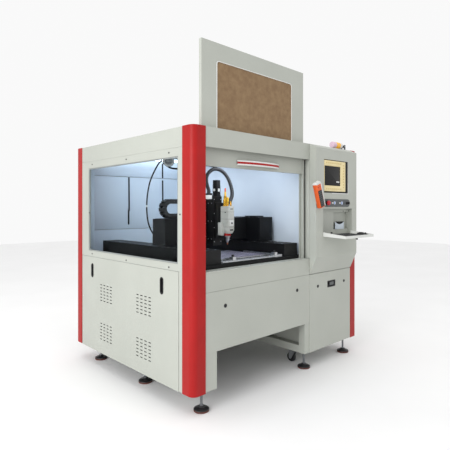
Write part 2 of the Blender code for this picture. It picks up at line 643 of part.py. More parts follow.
def buttons():
    """Control plate with its emergency stop, two push buttons and key switch."""
    half, ends = 0.033, (1.361, 1.708)
    outline = arc((ends[1], PLATE_Z), half, -90, 90, 10) + arc((ends[0], PLATE_Z), half, 90, 270, 10)
    plate = prism("control_plate", outline, "y", PLATE_FRONT, -CONSOLE_REACH - GAP, CHARCOAL)
    shell = bpy.data.objects["console_shell"]
    for name, x, radius in (("estop", 1.382, 0.0090), ("start", 1.496, 0.0118), ("stop", 1.609, 0.0118)):
        for target, spare in ((plate, 0.0), (shell, 0.0025)):
            hole = rod(f"{name}_hole_{target.name}", (x, -0.06, PLATE_Z), radius + spare, 0.03, "y", GREY, sides=20)
            cut(target, hole)
    estop = [(0.0, 0.030), (0.012, 0.029), (0.019, 0.025), (0.021, 0.018), (0.019, 0.010), (0.010, 0.007),
             (0.0085, 0.006), (0.0085, -0.012), (0.0, -0.012)]
    rounded(turned("estop_button", estop, (1.382, PLATE_FRONT, PLATE_Z), SIGNAL_RED, facing_front=True))
    push = [(0.0, 0.0062), (0.0105, 0.0055), (0.0113, 0.0045), (0.0113, -0.010), (0.0, -0.010)]
    for name, x in (("start_button", 1.496), ("stop_button", 1.609)):
        rounded(turned(name, push, (x, PLATE_FRONT, PLATE_Z), BLUE, facing_front=True))
    key_at = (1.691, PLATE_FRONT, PLATE_Z)
    barrel = [(0.0, 0.010), (0.010, 0.010), (0.012, 0.008), (0.013, 0.0003), (0.0, 0.0003)]
    key = rounded(turned("key_switch", barrel, key_at, BLACK, facing_front=True))
    x, y, z = key_at
    fuse(key, box("key_bow", (x - 0.002, y - 0.030, z - 0.010), (x + 0.002, y - 0.008, z + 0.010), BLACK))


def monitor():
    return box("monitor", (1.349, -0.0618, 1.463), (1.677, -0.020, 1.722), CREAM, bevel=0.002)


def on_tray(part):
    """Turns a part drawn level about the tray's hinge line, and hangs it there."""
    part.location = (0.0, *TRAY_HINGE)
    part.rotation_euler = (TRAY_TILT, 0, 0)
    return part


def keyboard_tray():
    """Fold-up tray with tapered cheeks, keyboard and mouse, drawn about the hinge line."""
    left, right, wall = 1.334, 1.780, 0.003
    reach, drop = -TRAY_REACH, -TRAY_DROP
    tray = on_tray(box("keyboard_tray", (left, reach, drop), (right, 0.004, drop + wall), GREY))
    rim = box("tray_rim", (left, reach, drop), (right, reach + wall, TRAY_RIM), GREY)
    cheek = [(reach, drop), (0.006, drop), (0.006, 0.028), (reach, TRAY_RIM)]
    cheeks = [prism(f"tray_cheek_{n}", cheek, "x", x, x + wall, GREY) for n, x in enumerate((left, right - wall))]
    knob = rod("tray_knob", (1.550, -0.187, drop - 0.006), 0.008, 0.014, "z", BLACK, sides=12)
    for piece in (rim, *cheeks, knob):
        on_tray(piece)
    fuse(tray, rim, *cheeks, knob)
    top = drop + wall + GAP
    on_tray(box("keyboard", (1.345, -0.170, top), (1.690, -0.030, top + 0.017), BLACK, bevel=0.004))
    mouse = box("mouse", (1.714, -0.180, top), (1.772, -0.075, top + 0.030), BLACK, bevel=0.013, segments=3)
    on_tray(mouse)


def cabinet_door():
    """Tilt-out lower cabinet door with a flush hand cup and two quarter-turn locks."""
    low, high = (CONSOLE_LEFT - 0.0005, 0.002, 0.139), (CABINET_RIGHT - 0.003, 0.020, 0.776)
    door = pan("cabinet_door", low, high, "+y", GREY)
    cut(door, box("handle_hole", (1.495, -0.01, 0.645), (1.607, 0.01, 0.692), GREY))
    for side, x in (("left", 1.349), ("right", 1.753)):
        cut(door, rod(f"lock_hole_{side}", (x, 0.0, 0.669), 0.0115, 0.02, "y", GREY, sides=16))
        profile = [(0.0, 0.0025), (0.009, 0.002), (0.013, 0.0003), (0.0108, 0.0003), (0.0108, -0.022), (0.0, -0.022)]
        lock = turned(f"cabinet_lock_{side}", profile, (x, 0.002, 0.669), BLACK, facing_front=True, sides=20)
        cam = box(f"cam_{side}", (x - 0.006, 0.0205, 0.660), (x + 0.006, 0.0235, 0.700), BLACK)
        fuse(rounded(lock), cam)
    return door


def remote_pendant():
    """Handheld remote that clings to the console's magnet, leaning to the left."""
    remote = box("remote_pendant", (-0.036, -0.020, -0.106), (0.036, 0.019, 0.106), ORANGE, bevel=0.008, segments=2)
    remote.location = (1.236, -0.0878, 1.428)
    remote.rotation_euler = (0, math.radians(-19.5), 0)
    return remote


def signal_lamp():
    """Stack lamp folded down on the roof, with its hinge bracket."""
    y, z = LAMP_AXIS
    lamp = rod("signal_lamp", (1.7165, y, z), 0.028, 0.151, "x", LAMP_PINK, sides=28)
    neck = box("lamp_neck", (1.789, y - 0.010, z - 0.012), (LAMP_HINGE_X + 0.008, y + 0.010, z + 0.008), CHARCOAL)
    fuse(hinge_on(lamp, (LAMP_HINGE_X, y, z)), neck)
    base = box("lamp_bracket", (1.812, y - 0.026, ROOF_TOP + GAP), (1.848, y + 0.026, ROOF_TOP + 0.004), CHARCOAL)
    ears = [box(f"lamp_ear_{n}", (1.818, y + s, ROOF_TOP + 0.002), (1.842, y + s + 0.005, z + 0.012), CHARCOAL)
            for n, s in enumerate((-0.018, 0.013))]
    fuse(base, *ears)


# ---------------------------------------------------------------- assembly
base_frame()
machine_bed()
laser_source()
enclosure()
for index, (foot_x, foot_y) in enumerate(FEET, start=1):
    levelling_foot(index, foot_x, foot_y)
for index, (caster_x, caster_y) in enumerate(CASTERS, start=1):
    caster(index, caster_x, caster_y)
front_door()
y_axis_cover("y_axis_cover_left", 0.165)
y_axis_cover("y_axis_cover_right", 1.025)
gantry_beam()
x_drag_chain()
x_carriage()
z_axis()
cutting_head()
cables()
cable_balancer()
fixture_rails()
console_shell()
buttons()
monitor()
keyboard_tray()
cabinet_door()
remote_pendant()
signal_lamp()
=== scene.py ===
"""Laser engraver: an enclosed gantry machine with a lifting front door and an operator console.

The moving frame is loaded first. Each sub-assembly is a class that shapes its own pieces and dresses the
frame's parts. Sizes are metres in the corner frame: X from the left flank, Y from the front plane to the
back, Z up from the floor. Workshop.add moves each finished mesh into the model's frame.
"""

from __future__ import annotations

import logging
import math
from collections.abc import Sequence
from dataclasses import dataclass, field, replace
from enum import Enum

import bpy
import numpy as np
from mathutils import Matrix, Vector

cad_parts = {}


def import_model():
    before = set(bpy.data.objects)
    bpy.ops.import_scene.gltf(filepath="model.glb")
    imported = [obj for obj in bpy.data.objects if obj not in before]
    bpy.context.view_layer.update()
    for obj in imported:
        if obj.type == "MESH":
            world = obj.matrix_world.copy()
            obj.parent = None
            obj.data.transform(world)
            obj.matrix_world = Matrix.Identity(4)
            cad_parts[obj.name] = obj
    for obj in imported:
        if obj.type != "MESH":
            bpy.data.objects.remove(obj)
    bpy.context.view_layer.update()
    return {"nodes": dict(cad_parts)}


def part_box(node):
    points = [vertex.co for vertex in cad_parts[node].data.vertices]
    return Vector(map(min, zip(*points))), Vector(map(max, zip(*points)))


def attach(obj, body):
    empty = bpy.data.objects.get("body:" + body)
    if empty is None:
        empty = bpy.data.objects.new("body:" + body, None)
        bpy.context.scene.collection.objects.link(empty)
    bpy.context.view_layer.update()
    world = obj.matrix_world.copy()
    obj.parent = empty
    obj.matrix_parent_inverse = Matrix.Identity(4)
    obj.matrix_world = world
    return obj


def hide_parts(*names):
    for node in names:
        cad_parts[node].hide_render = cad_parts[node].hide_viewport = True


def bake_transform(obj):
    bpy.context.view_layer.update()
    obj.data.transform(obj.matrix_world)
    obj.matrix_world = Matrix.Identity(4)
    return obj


LOG = logging.getLogger("laser_engraver")
Array = np.ndarray
Vec = tuple[float, float, float]
Profile = Sequence[tuple[float, float]]

MM_PER_M = 1000.0
# Noise mostly stays between these two values, so they are stretched to the full range.
NOISE_LOW, NOISE_HIGH = 0.3, 0.7
BUMP_STRENGTH = 0.6
LEAST_ROUGHNESS = 0.02
COAT_ROUGHNESS = 0.12
# Frame parts are loose triangles: corners nearer than this are joined before their edges are rounded.
WELD_M = 0.00002
BEVEL_SEGMENTS = 2
BEVEL_FROM_DEG = 50.0


# ---------------------------------------------------------------- finishes
def linear(colour: str) -> tuple[float, float, float, float]:
    """An sRGB hex colour as linear red, green, blue and alpha.

    Args:
        colour: six hex digits after a hash sign.

    Returns:
        Four numbers for a colour socket.
    """
    channels = np.array([int(colour[i : i + 2], 16) for i in (1, 3, 5)]) / 255.0
    light = np.where(channels <= 0.04045, channels / 12.92, ((channels + 0.055) / 1.055) ** 2.4)
    return (*(float(c) for c in light), 1.0)


def add_node(tree: bpy.types.NodeTree, kind: str, inputs: dict | None = None, **settings: object) -> bpy.types.Node:
    """Adds a shader node, sets its properties, and fills or links its inputs.

    Args:
        tree: the material's or world's node tree.
        kind: the node's type name.
        inputs: socket name or number to a value, or to another node's output socket.
        settings: properties of the node itself.

    Returns:
        The new node.
    """
    made = tree.nodes.new(kind)
    for name, value in settings.items():
        setattr(made, name, value)
    for name, value in (inputs or {}).items():
        if isinstance(value, bpy.types.NodeSocket):
            tree.links.new(value, made.inputs[name])
        else:
            made.inputs[name].default_value = value
    return made


class Grain(Enum):
    """How far a surface pattern is drawn out along X, Y and Z: 1 is even, small is long in that direction."""

    EVEN = (1.0, 1.0, 1.0)
    ALONG_X = (0.02, 1.0, 1.0)
    ALONG_Y = (1.0, 0.02, 1.0)
    ALONG_Z = (1.0, 1.0, 0.02)


@dataclass(frozen=True)
class Finish:
    """One real surface finish, made of a base shader, a slow colour drift and a fine relief.

    The drift is noise of drift_mm that mixes colour with second, the relief is noise of grain_mm raised by
    relief_mm, and the same fine noise spreads the roughness.
    """

    name: str
    colour: str
    second: str
    roughness: float
    metallic: float = 0.0
    drift_mm: float = 120.0
    grain_mm: float = 1.5
    relief_mm: float = 0.04
    spread: float = 0.06
    grain: Grain = Grain.EVEN
    coat: float = 0.0
    glow: float = 0.0
    clear: float = 0.0
    ior: float = 1.5
    gloss: float = 0.5

    def material(self) -> bpy.types.Material:
        """The finish as a material, made once and then shared."""
        known = bpy.data.materials.get(self.name)
        if known is not None:
            return known
        material = bpy.data.materials.new(self.name)
        material.use_nodes = True
        tree = material.node_tree
        shader = tree.nodes["Principled BSDF"]
        place = add_node(tree, "ShaderNodeTexCoord").outputs["Object"]
        turned = add_node(tree, "ShaderNodeMapping", {"Vector": place, "Scale": self.grain.value})
        drift = add_node(tree, "ShaderNodeTexNoise", {
            "Vector": place, "Scale": MM_PER_M / self.drift_mm, "Detail": 3.0, "Roughness": 0.55})
        fine = add_node(tree, "ShaderNodeTexNoise", {
            "Vector": turned.outputs["Vector"], "Scale": MM_PER_M / self.grain_mm, "Detail": 2.0})
        ease = add_node(tree, "ShaderNodeMapRange", {
            "Value": drift.outputs["Fac"], "From Min": NOISE_LOW, "From Max": NOISE_HIGH})
        mixed = add_node(tree, "ShaderNodeMixRGB", {
            "Fac": ease.outputs["Result"], "Color1": linear(self.colour), "Color2": linear(self.second)})
        rough = add_node(tree, "ShaderNodeMapRange", {
            "Value": fine.outputs["Fac"], "From Min": NOISE_LOW, "From Max": NOISE_HIGH,
            "To Min": max(LEAST_ROUGHNESS, self.roughness - self.spread),
            "To Max": min(1.0, self.roughness + self.spread)})
        bump = add_node(tree, "ShaderNodeBump", {
            "Height": fine.outputs["Fac"], "Strength": BUMP_STRENGTH, "Distance": self.relief_mm / MM_PER_M})
        tree.links.new(mixed.outputs["Color"], shader.inputs["Base Color"])
        tree.links.new(rough.outputs["Result"], shader.inputs["Roughness"])
        tree.links.new(bump.outputs["Normal"], shader.inputs["Normal"])
        constants = {"Metallic": self.metallic, "Coat Weight": self.coat, "Coat Roughness": COAT_ROUGHNESS,
                     "Transmission Weight": self.clear, "Specular IOR Level": self.gloss}
        if not self.metallic:
            constants["IOR"] = self.ior
        if self.glow:
            constants |= {"Emission Color": linear(self.colour), "Emission Strength": self.glow}
        for socket, value in constants.items():
            shader.inputs[socket].default_value = value
        return material


# Grain under about 1 mm is drawn coarser than the real 0.05 to 0.3 mm, so that it shows at all.
# Powder coat is sprayed as dust and baked: satin, with an orange-peel relief about 1.5 mm across.
GREY_COAT = Finish("light_grey_powder_coat", "#AEB1A9", "#A8ABA3", 0.50, drift_mm=420, grain_mm=1.6, relief_mm=0.05)
# The posts' red powder coat has a coarser orange peel and darkens a little where it is thin.
RED_COAT = Finish("red_gloss_powder_coat", "#A30B0A", "#980908", 0.46, drift_mm=180, grain_mm=2.2, relief_mm=0.04,
                  gloss=0.3)
# The keyboard tray's white powder coat: the same orange peel, a little glossier than the grey.
TRAY_COAT = Finish("white_tray_powder_coat", "#D6D8D4", "#D0D2CE", 0.46, drift_mm=160, grain_mm=1.6, relief_mm=0.05)
# The chamber is lined with white painted sheet: satin and slightly cool, with a slow drift over large areas.
LINING = Finish("cool_white_wall_paint", "#CBD5DE", "#C1CCD7", 0.50, drift_mm=500, grain_mm=2.0, relief_mm=0.04)
# Bead-blasted aluminium, anodised and dyed black: a fine even grain and soft highlights.
ANODISED = Finish("black_anodised_aluminium", "#08090B", "#060608", 0.45, drift_mm=90, grain_mm=0.8, relief_mm=0.02,
                  gloss=0.28)
# Steel covers sprayed semi-matt black: broad dull highlights.
BLACK_PAINT = Finish("semi_matt_black_paint", "#090A0C", "#0C0D0F", 0.55, drift_mm=200, grain_mm=1.8, relief_mm=0.04,
                     gloss=0.25)
# Milled aluminium: fine cutter marks along X draw the highlights out.
MILLED = Finish("milled_aluminium", "#C6C8CB", "#B4B7BB", 0.30, metallic=1.0, drift_mm=60, grain_mm=1.2,
                relief_mm=0.02, grain=Grain.ALONG_X, spread=0.10)
# The same with its cutter marks along Y.
MILLED_Y = replace(MILLED, name="milled_aluminium_lengthwise", grain=Grain.ALONG_Y)
# Zinc-plated steel: pale, slightly spangled.
ZINC = Finish("zinc_plated_steel", "#B9BBBE", "#A3A6AB", 0.34, metallic=1.0, drift_mm=14, grain_mm=1.0, relief_mm=0.01)
# Chromed trim rings: near mirror.
CHROME = Finish("chromed_trim", "#DDDFE2", "#D2D4D8", 0.12, metallic=1.0, drift_mm=20, grain_mm=1.0, relief_mm=0.004,
                spread=0.03)
# Turned brass of the connectors, with faint lathe rings.
BRASS = Finish("turned_brass", "#C9A03A", "#B98C2C", 0.28, metallic=1.0, drift_mm=12, grain_mm=0.6, relief_mm=0.01)
# Copper of the nozzle, slightly heat-toned.
COPPER = Finish("turned_copper", "#C98A62", "#B77650", 0.30, metallic=1.0, drift_mm=9, grain_mm=0.6, relief_mm=0.01)
# The head's housing: cast aluminium with a pale grey coat.
HEAD_COAT = Finish("pale_grey_cast_coat", "#BFC1BC", "#B2B4AF", 0.48, drift_mm=45, grain_mm=1.0, relief_mm=0.04)
# Brown kraft paper left on the window against scratches: long fibres and blotches.
KRAFT = Finish("kraft_masking_paper", "#8A7152", "#7A6044", 0.82, drift_mm=38, grain_mm=2.6, relief_mm=0.12,
               spread=0.08)
# Moulded rubber: dull, greyer where it has bloomed.
RUBBER = Finish("moulded_black_rubber", "#161616", "#1E1E1E", 0.78, drift_mm=30, grain_mm=0.9, relief_mm=0.03)
# Extruded rubber strip: fine lines along its length from the die.
SEAL = Finish("extruded_seal_rubber", "#0D0E0E", "#151616", 0.70, drift_mm=50, grain_mm=0.9, relief_mm=0.03,
              grain=Grain.ALONG_Z)
# The glazing bead is a soft grey extrusion.
BEAD = Finish("grey_glazing_bead", "#8E9392", "#868B8A", 0.66, drift_mm=50, grain_mm=0.9, relief_mm=0.03)
# Corrugated nylon conduit: a mild sheen that catches each rib.
CONDUIT = Finish("corrugated_conduit_plastic", "#101012", "#18181B", 0.42, drift_mm=25, grain_mm=0.7, relief_mm=0.03)
# Injection-moulded ABS with a spark-eroded texture.
ABS_BLACK = Finish("moulded_black_abs", "#141416", "#1B1B1E", 0.46, drift_mm=35, grain_mm=0.7, relief_mm=0.03)
# Keycaps are etched a little rougher, so that fingers don't slip.
KEYCAP = Finish("etched_keycap_abs", "#1C1D20", "#242529", 0.52, drift_mm=20, grain_mm=0.5, relief_mm=0.02)
# Glass-filled nylon: fibres near the surface break up its highlights.
NYLON = Finish("glass_filled_nylon", "#121315", "#1B1C1E", 0.55, drift_mm=22, grain_mm=0.8, relief_mm=0.04)
# The screen's surround is moulded in cream plastic, yellowed unevenly.
CREAM = Finish("cream_panel_plastic", "#E4D5A6", "#DDCC98", 0.48, drift_mm=70, grain_mm=0.8, relief_mm=0.03)
# Membrane keys printed on the cream panel, a shade browner than it.
KEY_CREAM = Finish("cream_membrane_key", "#CDB87E", "#C3AD72", 0.50, drift_mm=30, grain_mm=0.8, relief_mm=0.02)
# The display is off: dark glass with an anti-glare coat that dulls its reflections.
SCREEN = Finish("display_glass_dark", "#0C0C0C", "#0A0A0A", 0.32, drift_mm=160, grain_mm=3.0, relief_mm=0.002,
                spread=0.02, gloss=0.25)
# Charcoal paint with a fine hammered texture.
CHARCOAL = Finish("charcoal_textured_paint", "#55595A", "#4C5051", 0.50, drift_mm=40, grain_mm=0.9, relief_mm=0.03)
# White ABS mouldings: smooth, with a soft highlight.
WHITE_PLASTIC = Finish("white_moulded_plastic", "#D9DAD8", "#CFD0CE", 0.38, drift_mm=30, grain_mm=0.9, relief_mm=0.02)
# The remote's case has a soft rubberised skin.
ORANGE = Finish("orange_rubberised_plastic", "#DC5E22", "#CE531B", 0.50, drift_mm=25, grain_mm=0.8, relief_mm=0.03)
# Polished red plastic of the stop button, under a thin clear gloss.
SIGNAL_RED = Finish("signal_red_plastic", "#840E1A", "#760B16", 0.34, drift_mm=18, grain_mm=0.8, relief_mm=0.01,
                    coat=0.4)
# Polished yellow plastic of the plugs.
SIGNAL_YELLOW = Finish("signal_yellow_plastic", "#F2C21B", "#E8B512", 0.38, drift_mm=18, grain_mm=0.8, relief_mm=0.01)
# Translucent blue ring, dimly lit from behind.
BLUE_LENS = Finish("blue_lit_lens", "#3E78C8", "#2F66B4", 0.30, drift_mm=6, grain_mm=0.8, relief_mm=0.01, glow=0.25)
# Lamp lenses are moulded acrylic over a pale core: glossy, with light scattered inside.
LILAC_LENS = Finish("lilac_lamp_lens", "#CDB4C4", "#C6A6B8", 0.26, drift_mm=16, grain_mm=2.0, relief_mm=0.05,
                    coat=0.3, glow=0.12)
AMBER_LENS = replace(LILAC_LENS, name="amber_lamp_lens", colour="#EDB21E", second="#DE9818", glow=0.18)
# Frosted diffuser over the light strips.
LED = Finish("led_diffuser", "#E6F1FF", "#DCEBFF", 0.35, drift_mm=40, grain_mm=2.0, relief_mm=0.01, glow=5.0)
# Clear acrylic. Its index is far below the real 1.49, so that one closed pane neither bends nor mirrors the chamber.
GLASS = Finish("clear_acrylic_pane", "#F7FBFC", "#F2F8FA", 0.03, drift_mm=300, grain_mm=30, relief_mm=0.0, spread=0.01,
               clear=1.0, ior=1.02)
# Cold-rolled sheet, oiled: roll lines along X, with a dull lilac cast and little mirror.
SHEET_STEEL = Finish("cold_rolled_sheet", "#C6C2D4", "#A7A2BA", 0.30, metallic=0.35, drift_mm=110, grain_mm=1.2,
                     relief_mm=0.01, grain=Grain.ALONG_X)
# Red-brown rubber pad under each foot.
FOOT_RUBBER = Finish("red_brown_foot_rubber", "#5E2F26", "#522820", 0.72, drift_mm=18, grain_mm=1.0, relief_mm=0.04)
# Inner steel that no light reaches, seen through gaps.
DARK_GAP = Finish("unlit_inner_steel", "#0E0F10", "#141516", 0.80, drift_mm=60, grain_mm=2.0, relief_mm=0.02)
# Pale matt floor paint.
FLOOR = Finish("pale_studio_floor", "#F4F4F4", "#F1F1F1", 0.60, drift_mm=900, grain_mm=4.0, relief_mm=0.01)


# ---------------------------------------------------------------- surfaces
@dataclass(frozen=True)
class Shell:
    """A mesh as arrays: points (n, 3), and faces as arrays of quads or of larger outlines."""

    points: Array
    faces: tuple[Array, ...]

    def __add__(self, other: Shell) -> Shell:
        """Both meshes as one."""
        shift = len(self.points)
        return Shell(np.vstack([self.points, other.points]), self.faces + tuple(f + shift for f in other.faces))

    def copies(self, placed: Array) -> Shell:
        """Many copies of the mesh in one.

        Args:
            placed: every copy's points, array (copies, points, 3).

        Returns:
            One mesh that holds every copy.
        """
        jumps = np.arange(len(placed)) * len(self.points)
        faces = tuple((f[None] + jumps[:, None, None]).reshape(-1, f.shape[1]) for f in self.faces)
        return Shell(placed.reshape(-1, 3), faces)

    def repeated(self, shifts: Sequence[Vec]) -> Shell:
        """One mesh with a copy of this one at each shift."""
        return self.copies(self.points[None] + np.array(shifts, float)[:, None])

    def turned(self, axis: str, degrees: float, about: Vec) -> Shell:
        """The mesh turned about an axis through a point.

        Args:
            axis: x, y or z.
            degrees: angle by the right-hand rule.
            about: a point on the axis.

        Returns:
            The turned mesh.
        """
        c, s = math.cos(math.radians(degrees)), math.sin(math.radians(degrees))
        turn = {"x": [[1, 0, 0], [0, c, s], [0, -s, c]], "y": [[c, 0, -s], [0, 1, 0], [s, 0, c]],
                "z": [[c, s, 0], [-s, c, 0], [0, 0, 1]]}[axis]
        centre = np.array(about)
        return Shell((self.points - centre) @ np.array(turn) + centre, self.faces)


class Facing(Enum):
    """Which way a local outline faces: its own U and V directions; outward is U cross V."""

    FRONT = ((1, 0, 0), (0, 0, 1))
    REAR = ((-1, 0, 0), (0, 0, 1))
    LEFT = ((0, -1, 0), (0, 0, 1))
    RIGHT = ((0, 1, 0), (0, 0, 1))
    UP = ((1, 0, 0), (0, 1, 0))
    DOWN = ((1, 0, 0), (0, -1, 0))

    def carry(self, local: Array, origin: Vec) -> Array:
        """Local U, V and outward coordinates as points in the corner frame.

        Args:
            local: points as (U, V, outward).
            origin: the corner-frame point at their zero.

        Returns:
            The points in the corner frame.
        """
        u, v = (np.array(a, float) for a in self.value)
        return np.array(origin) + local @ np.stack([u, v, np.cross(u, v)])


def loft(rings: Array, cap_start: bool = True, cap_end: bool = True) -> Shell:
    """A skin over rings of points: point (i, j) is ring i's point j, and each ring closes on itself.

    Args:
        rings: array (rings, points, 3), turning anticlockwise as seen from the end they run to.
        cap_start: close the first ring.
        cap_end: close the last ring.

    Returns:
        The skin with its caps.
    """
    count, sides = rings.shape[:2]
    i, j = np.meshgrid(np.arange(count - 1), np.arange(sides), indexing="ij")
    k = (j + 1) % sides
    quads = np.stack([i * sides + j, i * sides + k, (i + 1) * sides + k, (i + 1) * sides + j], -1).reshape(-1, 4)
    faces: list[Array] = [quads]
    if cap_start:
        faces.append(np.arange(sides)[::-1][None])
    if cap_end:
        faces.append((np.arange(sides) + (count - 1) * sides)[None])
    return Shell(rings.reshape(-1, 3), tuple(faces))


def rectangle(width: float, height: float, radius: float, steps: int = 4) -> Array:
    """A rectangle centred on zero with rounded corners: each corner is a quarter circle about its own centre.

    Args:
        width: full size along U.
        height: full size along V.
        radius: corner radius.
        steps: points on each corner less one.

    Returns:
        Outline (n, 2), anticlockwise.
    """
    angles = np.linspace(0, np.pi / 2, steps + 1)[None] + np.arange(4)[:, None] * np.pi / 2
    signs = np.array([(1, 1), (-1, 1), (-1, -1), (1, -1)], float)
    centres = signs * (width / 2 - radius, height / 2 - radius)
    ring = centres[:, None] + radius * np.stack([np.cos(angles), np.sin(angles)], -1)
    return ring.reshape(-1, 2)


def circle(radius: float, sides: int = 32) -> Array:
    """A circle centred on zero, anticlockwise, as an outline (sides, 2)."""
    angles = np.linspace(0, 2 * np.pi, sides, endpoint=False)
    return radius * np.stack([np.cos(angles), np.sin(angles)], -1)


def inset(outline: Array, by: float) -> Array:
    """The outline moved inwards along its own normals, taken from each point's two neighbours.

    Args:
        outline: (n, 2), anticlockwise.
        by: how far inwards, or outwards where it is negative.

    Returns:
        The new outline.
    """
    along = np.roll(outline, -1, 0) - np.roll(outline, 1, 0)
    along /= np.linalg.norm(along, axis=1, keepdims=True) + 1e-12
    return outline + by * np.stack([-along[:, 1], along[:, 0]], -1)


def tiers(rows: Sequence[tuple[Array, float]]) -> Array:
    """Rings for a loft: ring i is outline i with its own height as the third coordinate.

    Args:
        rows: outlines of the same number of points, each with its height.

    Returns:
        Array (rows, points, 3).
    """
    return np.stack([np.column_stack([outline, np.full(len(outline), high)]) for outline, high in rows])


def plate(outline: Array, thick: float, edge: float, facing: Facing, origin: Vec, back_edge: float = 0.0) -> Shell:
    """An outline raised by a thickness, with a quarter-round front edge.

    The edge's ring at angle a is inset by edge (1 - cos a) and stands at thick - edge + edge sin a.

    Args:
        outline: (n, 2), anticlockwise.
        thick: how far it stands out.
        edge: radius of the front edge.
        facing: the way it faces.
        origin: the point of the corner frame at the outline's zero, on its back face.
        back_edge: radius of the back edge.

    Returns:
        A closed mesh.
    """
    turn = np.linspace(0, np.pi / 2, 4)
    rows = [(back_edge * (1 - math.sin(a)), back_edge * (1 - math.cos(a))) for a in turn] if back_edge else [(0, 0)]
    rows += [(edge * (1 - math.cos(a)), thick - edge + edge * math.sin(a)) for a in turn]
    return loft(facing.carry(tiers([(inset(outline, by), high) for by, high in rows]), origin))


def block(low: Vec, high: Vec, edge: float = 0.0015, facing: Facing = Facing.UP) -> Shell:
    """A block between two corners with all its edges rounded, built as a raised outline.

    Args:
        low: its lowest corner.
        high: its highest corner.
        edge: radius of its edges.
        facing: the way the raised outline faces, which settles where its faces meet.

    Returns:
        A closed mesh.
    """
    a, b = np.array(low), np.array(high)
    u, v = (np.array(axis, float) for axis in facing.value)
    out = np.cross(u, v)
    middle, size = (a + b) / 2, b - a
    thick = float(abs(size @ out))
    origin = middle - out * thick / 2
    outline = rectangle(float(abs(size @ u)), float(abs(size @ v)), max(edge, 0.0002), 3)
    return plate(outline, thick, edge, facing, tuple(origin), back_edge=edge)


def lathe(profile: Profile, facing: Facing, origin: Vec, sides: int = 32) -> Shell:
    """A profile turned about the outward axis: ring i has radius r_i at height h_i.

    Args:
        profile: (radius, height) pairs.
        facing: the way the axis points.
        origin: the point of the axis at height zero.
        sides: how many sides stand for the circle.

    Returns:
        A closed mesh.
    """
    rows = np.array(profile, float)
    unit = circle(1.0, sides)
    heights = np.broadcast_to(rows[:, None, 1:], (len(rows), sides, 1))
    return loft(facing.carry(np.concatenate([rows[:, None, :1] * unit[None], heights], -1), origin))


def route(corners: Sequence[Vec], spacing: float) -> Array:
    """Evenly spaced points on a cubic that passes through each corner with its neighbours' mean slope.

    Args:
        corners: the points to pass through.
        spacing: distance between the points that are returned.

    Returns:
        Array (n, 3).
    """
    knots = np.array(corners, float)
    ends = np.vstack([2 * knots[0] - knots[1], knots, 2 * knots[-1] - knots[-2]])
    t = np.linspace(0, 1, 24, endpoint=False)[None, :, None]
    a, b, c, d = (ends[k : len(ends) - 3 + k, None] for k in range(4))
    curve = 0.5 * (2 * b + (c - a) * t + (2 * a - 5 * b + 4 * c - d) * t**2 + (3 * b - a - 3 * c + d) * t**3)
    points = np.vstack([curve.reshape(-1, 3), knots[-1]])
    walked = np.concatenate([[0.0], np.cumsum(np.linalg.norm(np.diff(points, axis=0), axis=1))])
    wanted = np.linspace(0, walked[-1], max(4, round(walked[-1] / spacing)) + 1)
    return np.stack([np.interp(wanted, walked, points[:, k]) for k in range(3)], -1)


def hose(path: Array, radius: float | Array, across: Vec, sides: int = 16) -> Shell:
    """A tube: the circle at each path point lies across the path, turned so that one radius is square to across.

    Args:
        path: centre line (n, 3).
        radius: one radius, or one for each point.
        across: a direction that the path never runs along.
        sides: points on the circle.

    Returns:
        A closed tube.
    """
    along = np.gradient(path, axis=0)
    along /= np.linalg.norm(along, axis=1, keepdims=True)
    side = np.cross(along, np.array(across, float))
    side /= np.linalg.norm(side, axis=1, keepdims=True)
    up = np.cross(along, side)
    unit = circle(1.0, sides)
    size = np.broadcast_to(np.asarray(radius, float), (len(path),))[:, None, None]
    rings = path[:, None] + size * (unit[None, :, :1] * side[:, None] + unit[None, :, 1:] * up[:, None])
    return loft(rings)


def ribbed(path: Array, radius: float, pitch: float, depth: float) -> Array:
    """Radii along a path for a corrugated hose: the radius swings by depth once every pitch of length.

    Args:
        path: centre line (n, 3).
        radius: at the ribs.
        pitch: distance from rib to rib.
        depth: how far it narrows between them.

    Returns:
        One radius for each point.
    """
    walked = np.concatenate([[0.0], np.cumsum(np.linalg.norm(np.diff(path, axis=0), axis=1))])
    return radius - depth * (0.5 - 0.5 * np.cos(2 * np.pi * walked / pitch))


def cup(lip: Array, mouth: Array, floor: Array, rim: float, depth: float, facing: Facing, origin: Vec) -> Shell:
    """A cup let into a panel: a raised lip rolls over to the mouth, then the wall slopes down to a sunk floor.

    Args:
        lip: outer outline of the lip.
        mouth: outline of the opening.
        floor: outline of the floor.
        rim: how far the lip's straight edge stands out.
        depth: how far the floor is sunk.
        facing: the way it opens.
        origin: the middle of the opening, on the panel's face.

    Returns:
        The cup, open at its back.
    """
    roll = 0.001
    rows = [(lip, 0.0), (lip, rim), (inset(lip, roll), rim + roll), (inset(mouth, -roll), rim + roll), (mouth, rim),
            (floor, -depth)]
    return loft(facing.carry(tiers(rows), origin), False, True)


def button_screws(places: Sequence[Vec], facing: Facing, radius: float = 0.005) -> Shell:
    """Domed screws with a sunk socket: a low turned dome whose middle drops into it.

    Args:
        places: where each screw's seat is.
        facing: the way the heads face.
        radius: of the heads.

    Returns:
        One mesh that holds every screw.
    """
    r = radius
    dome = [(r, 0.0), (r, 0.12 * r), (0.93 * r, 0.30 * r), (0.72 * r, 0.46 * r), (0.48 * r, 0.52 * r),
            (0.42 * r, 0.50 * r), (0.40 * r, 0.14 * r)]
    return lathe(dome, facing, (0.0, 0.0, 0.0), 12).repeated(places)


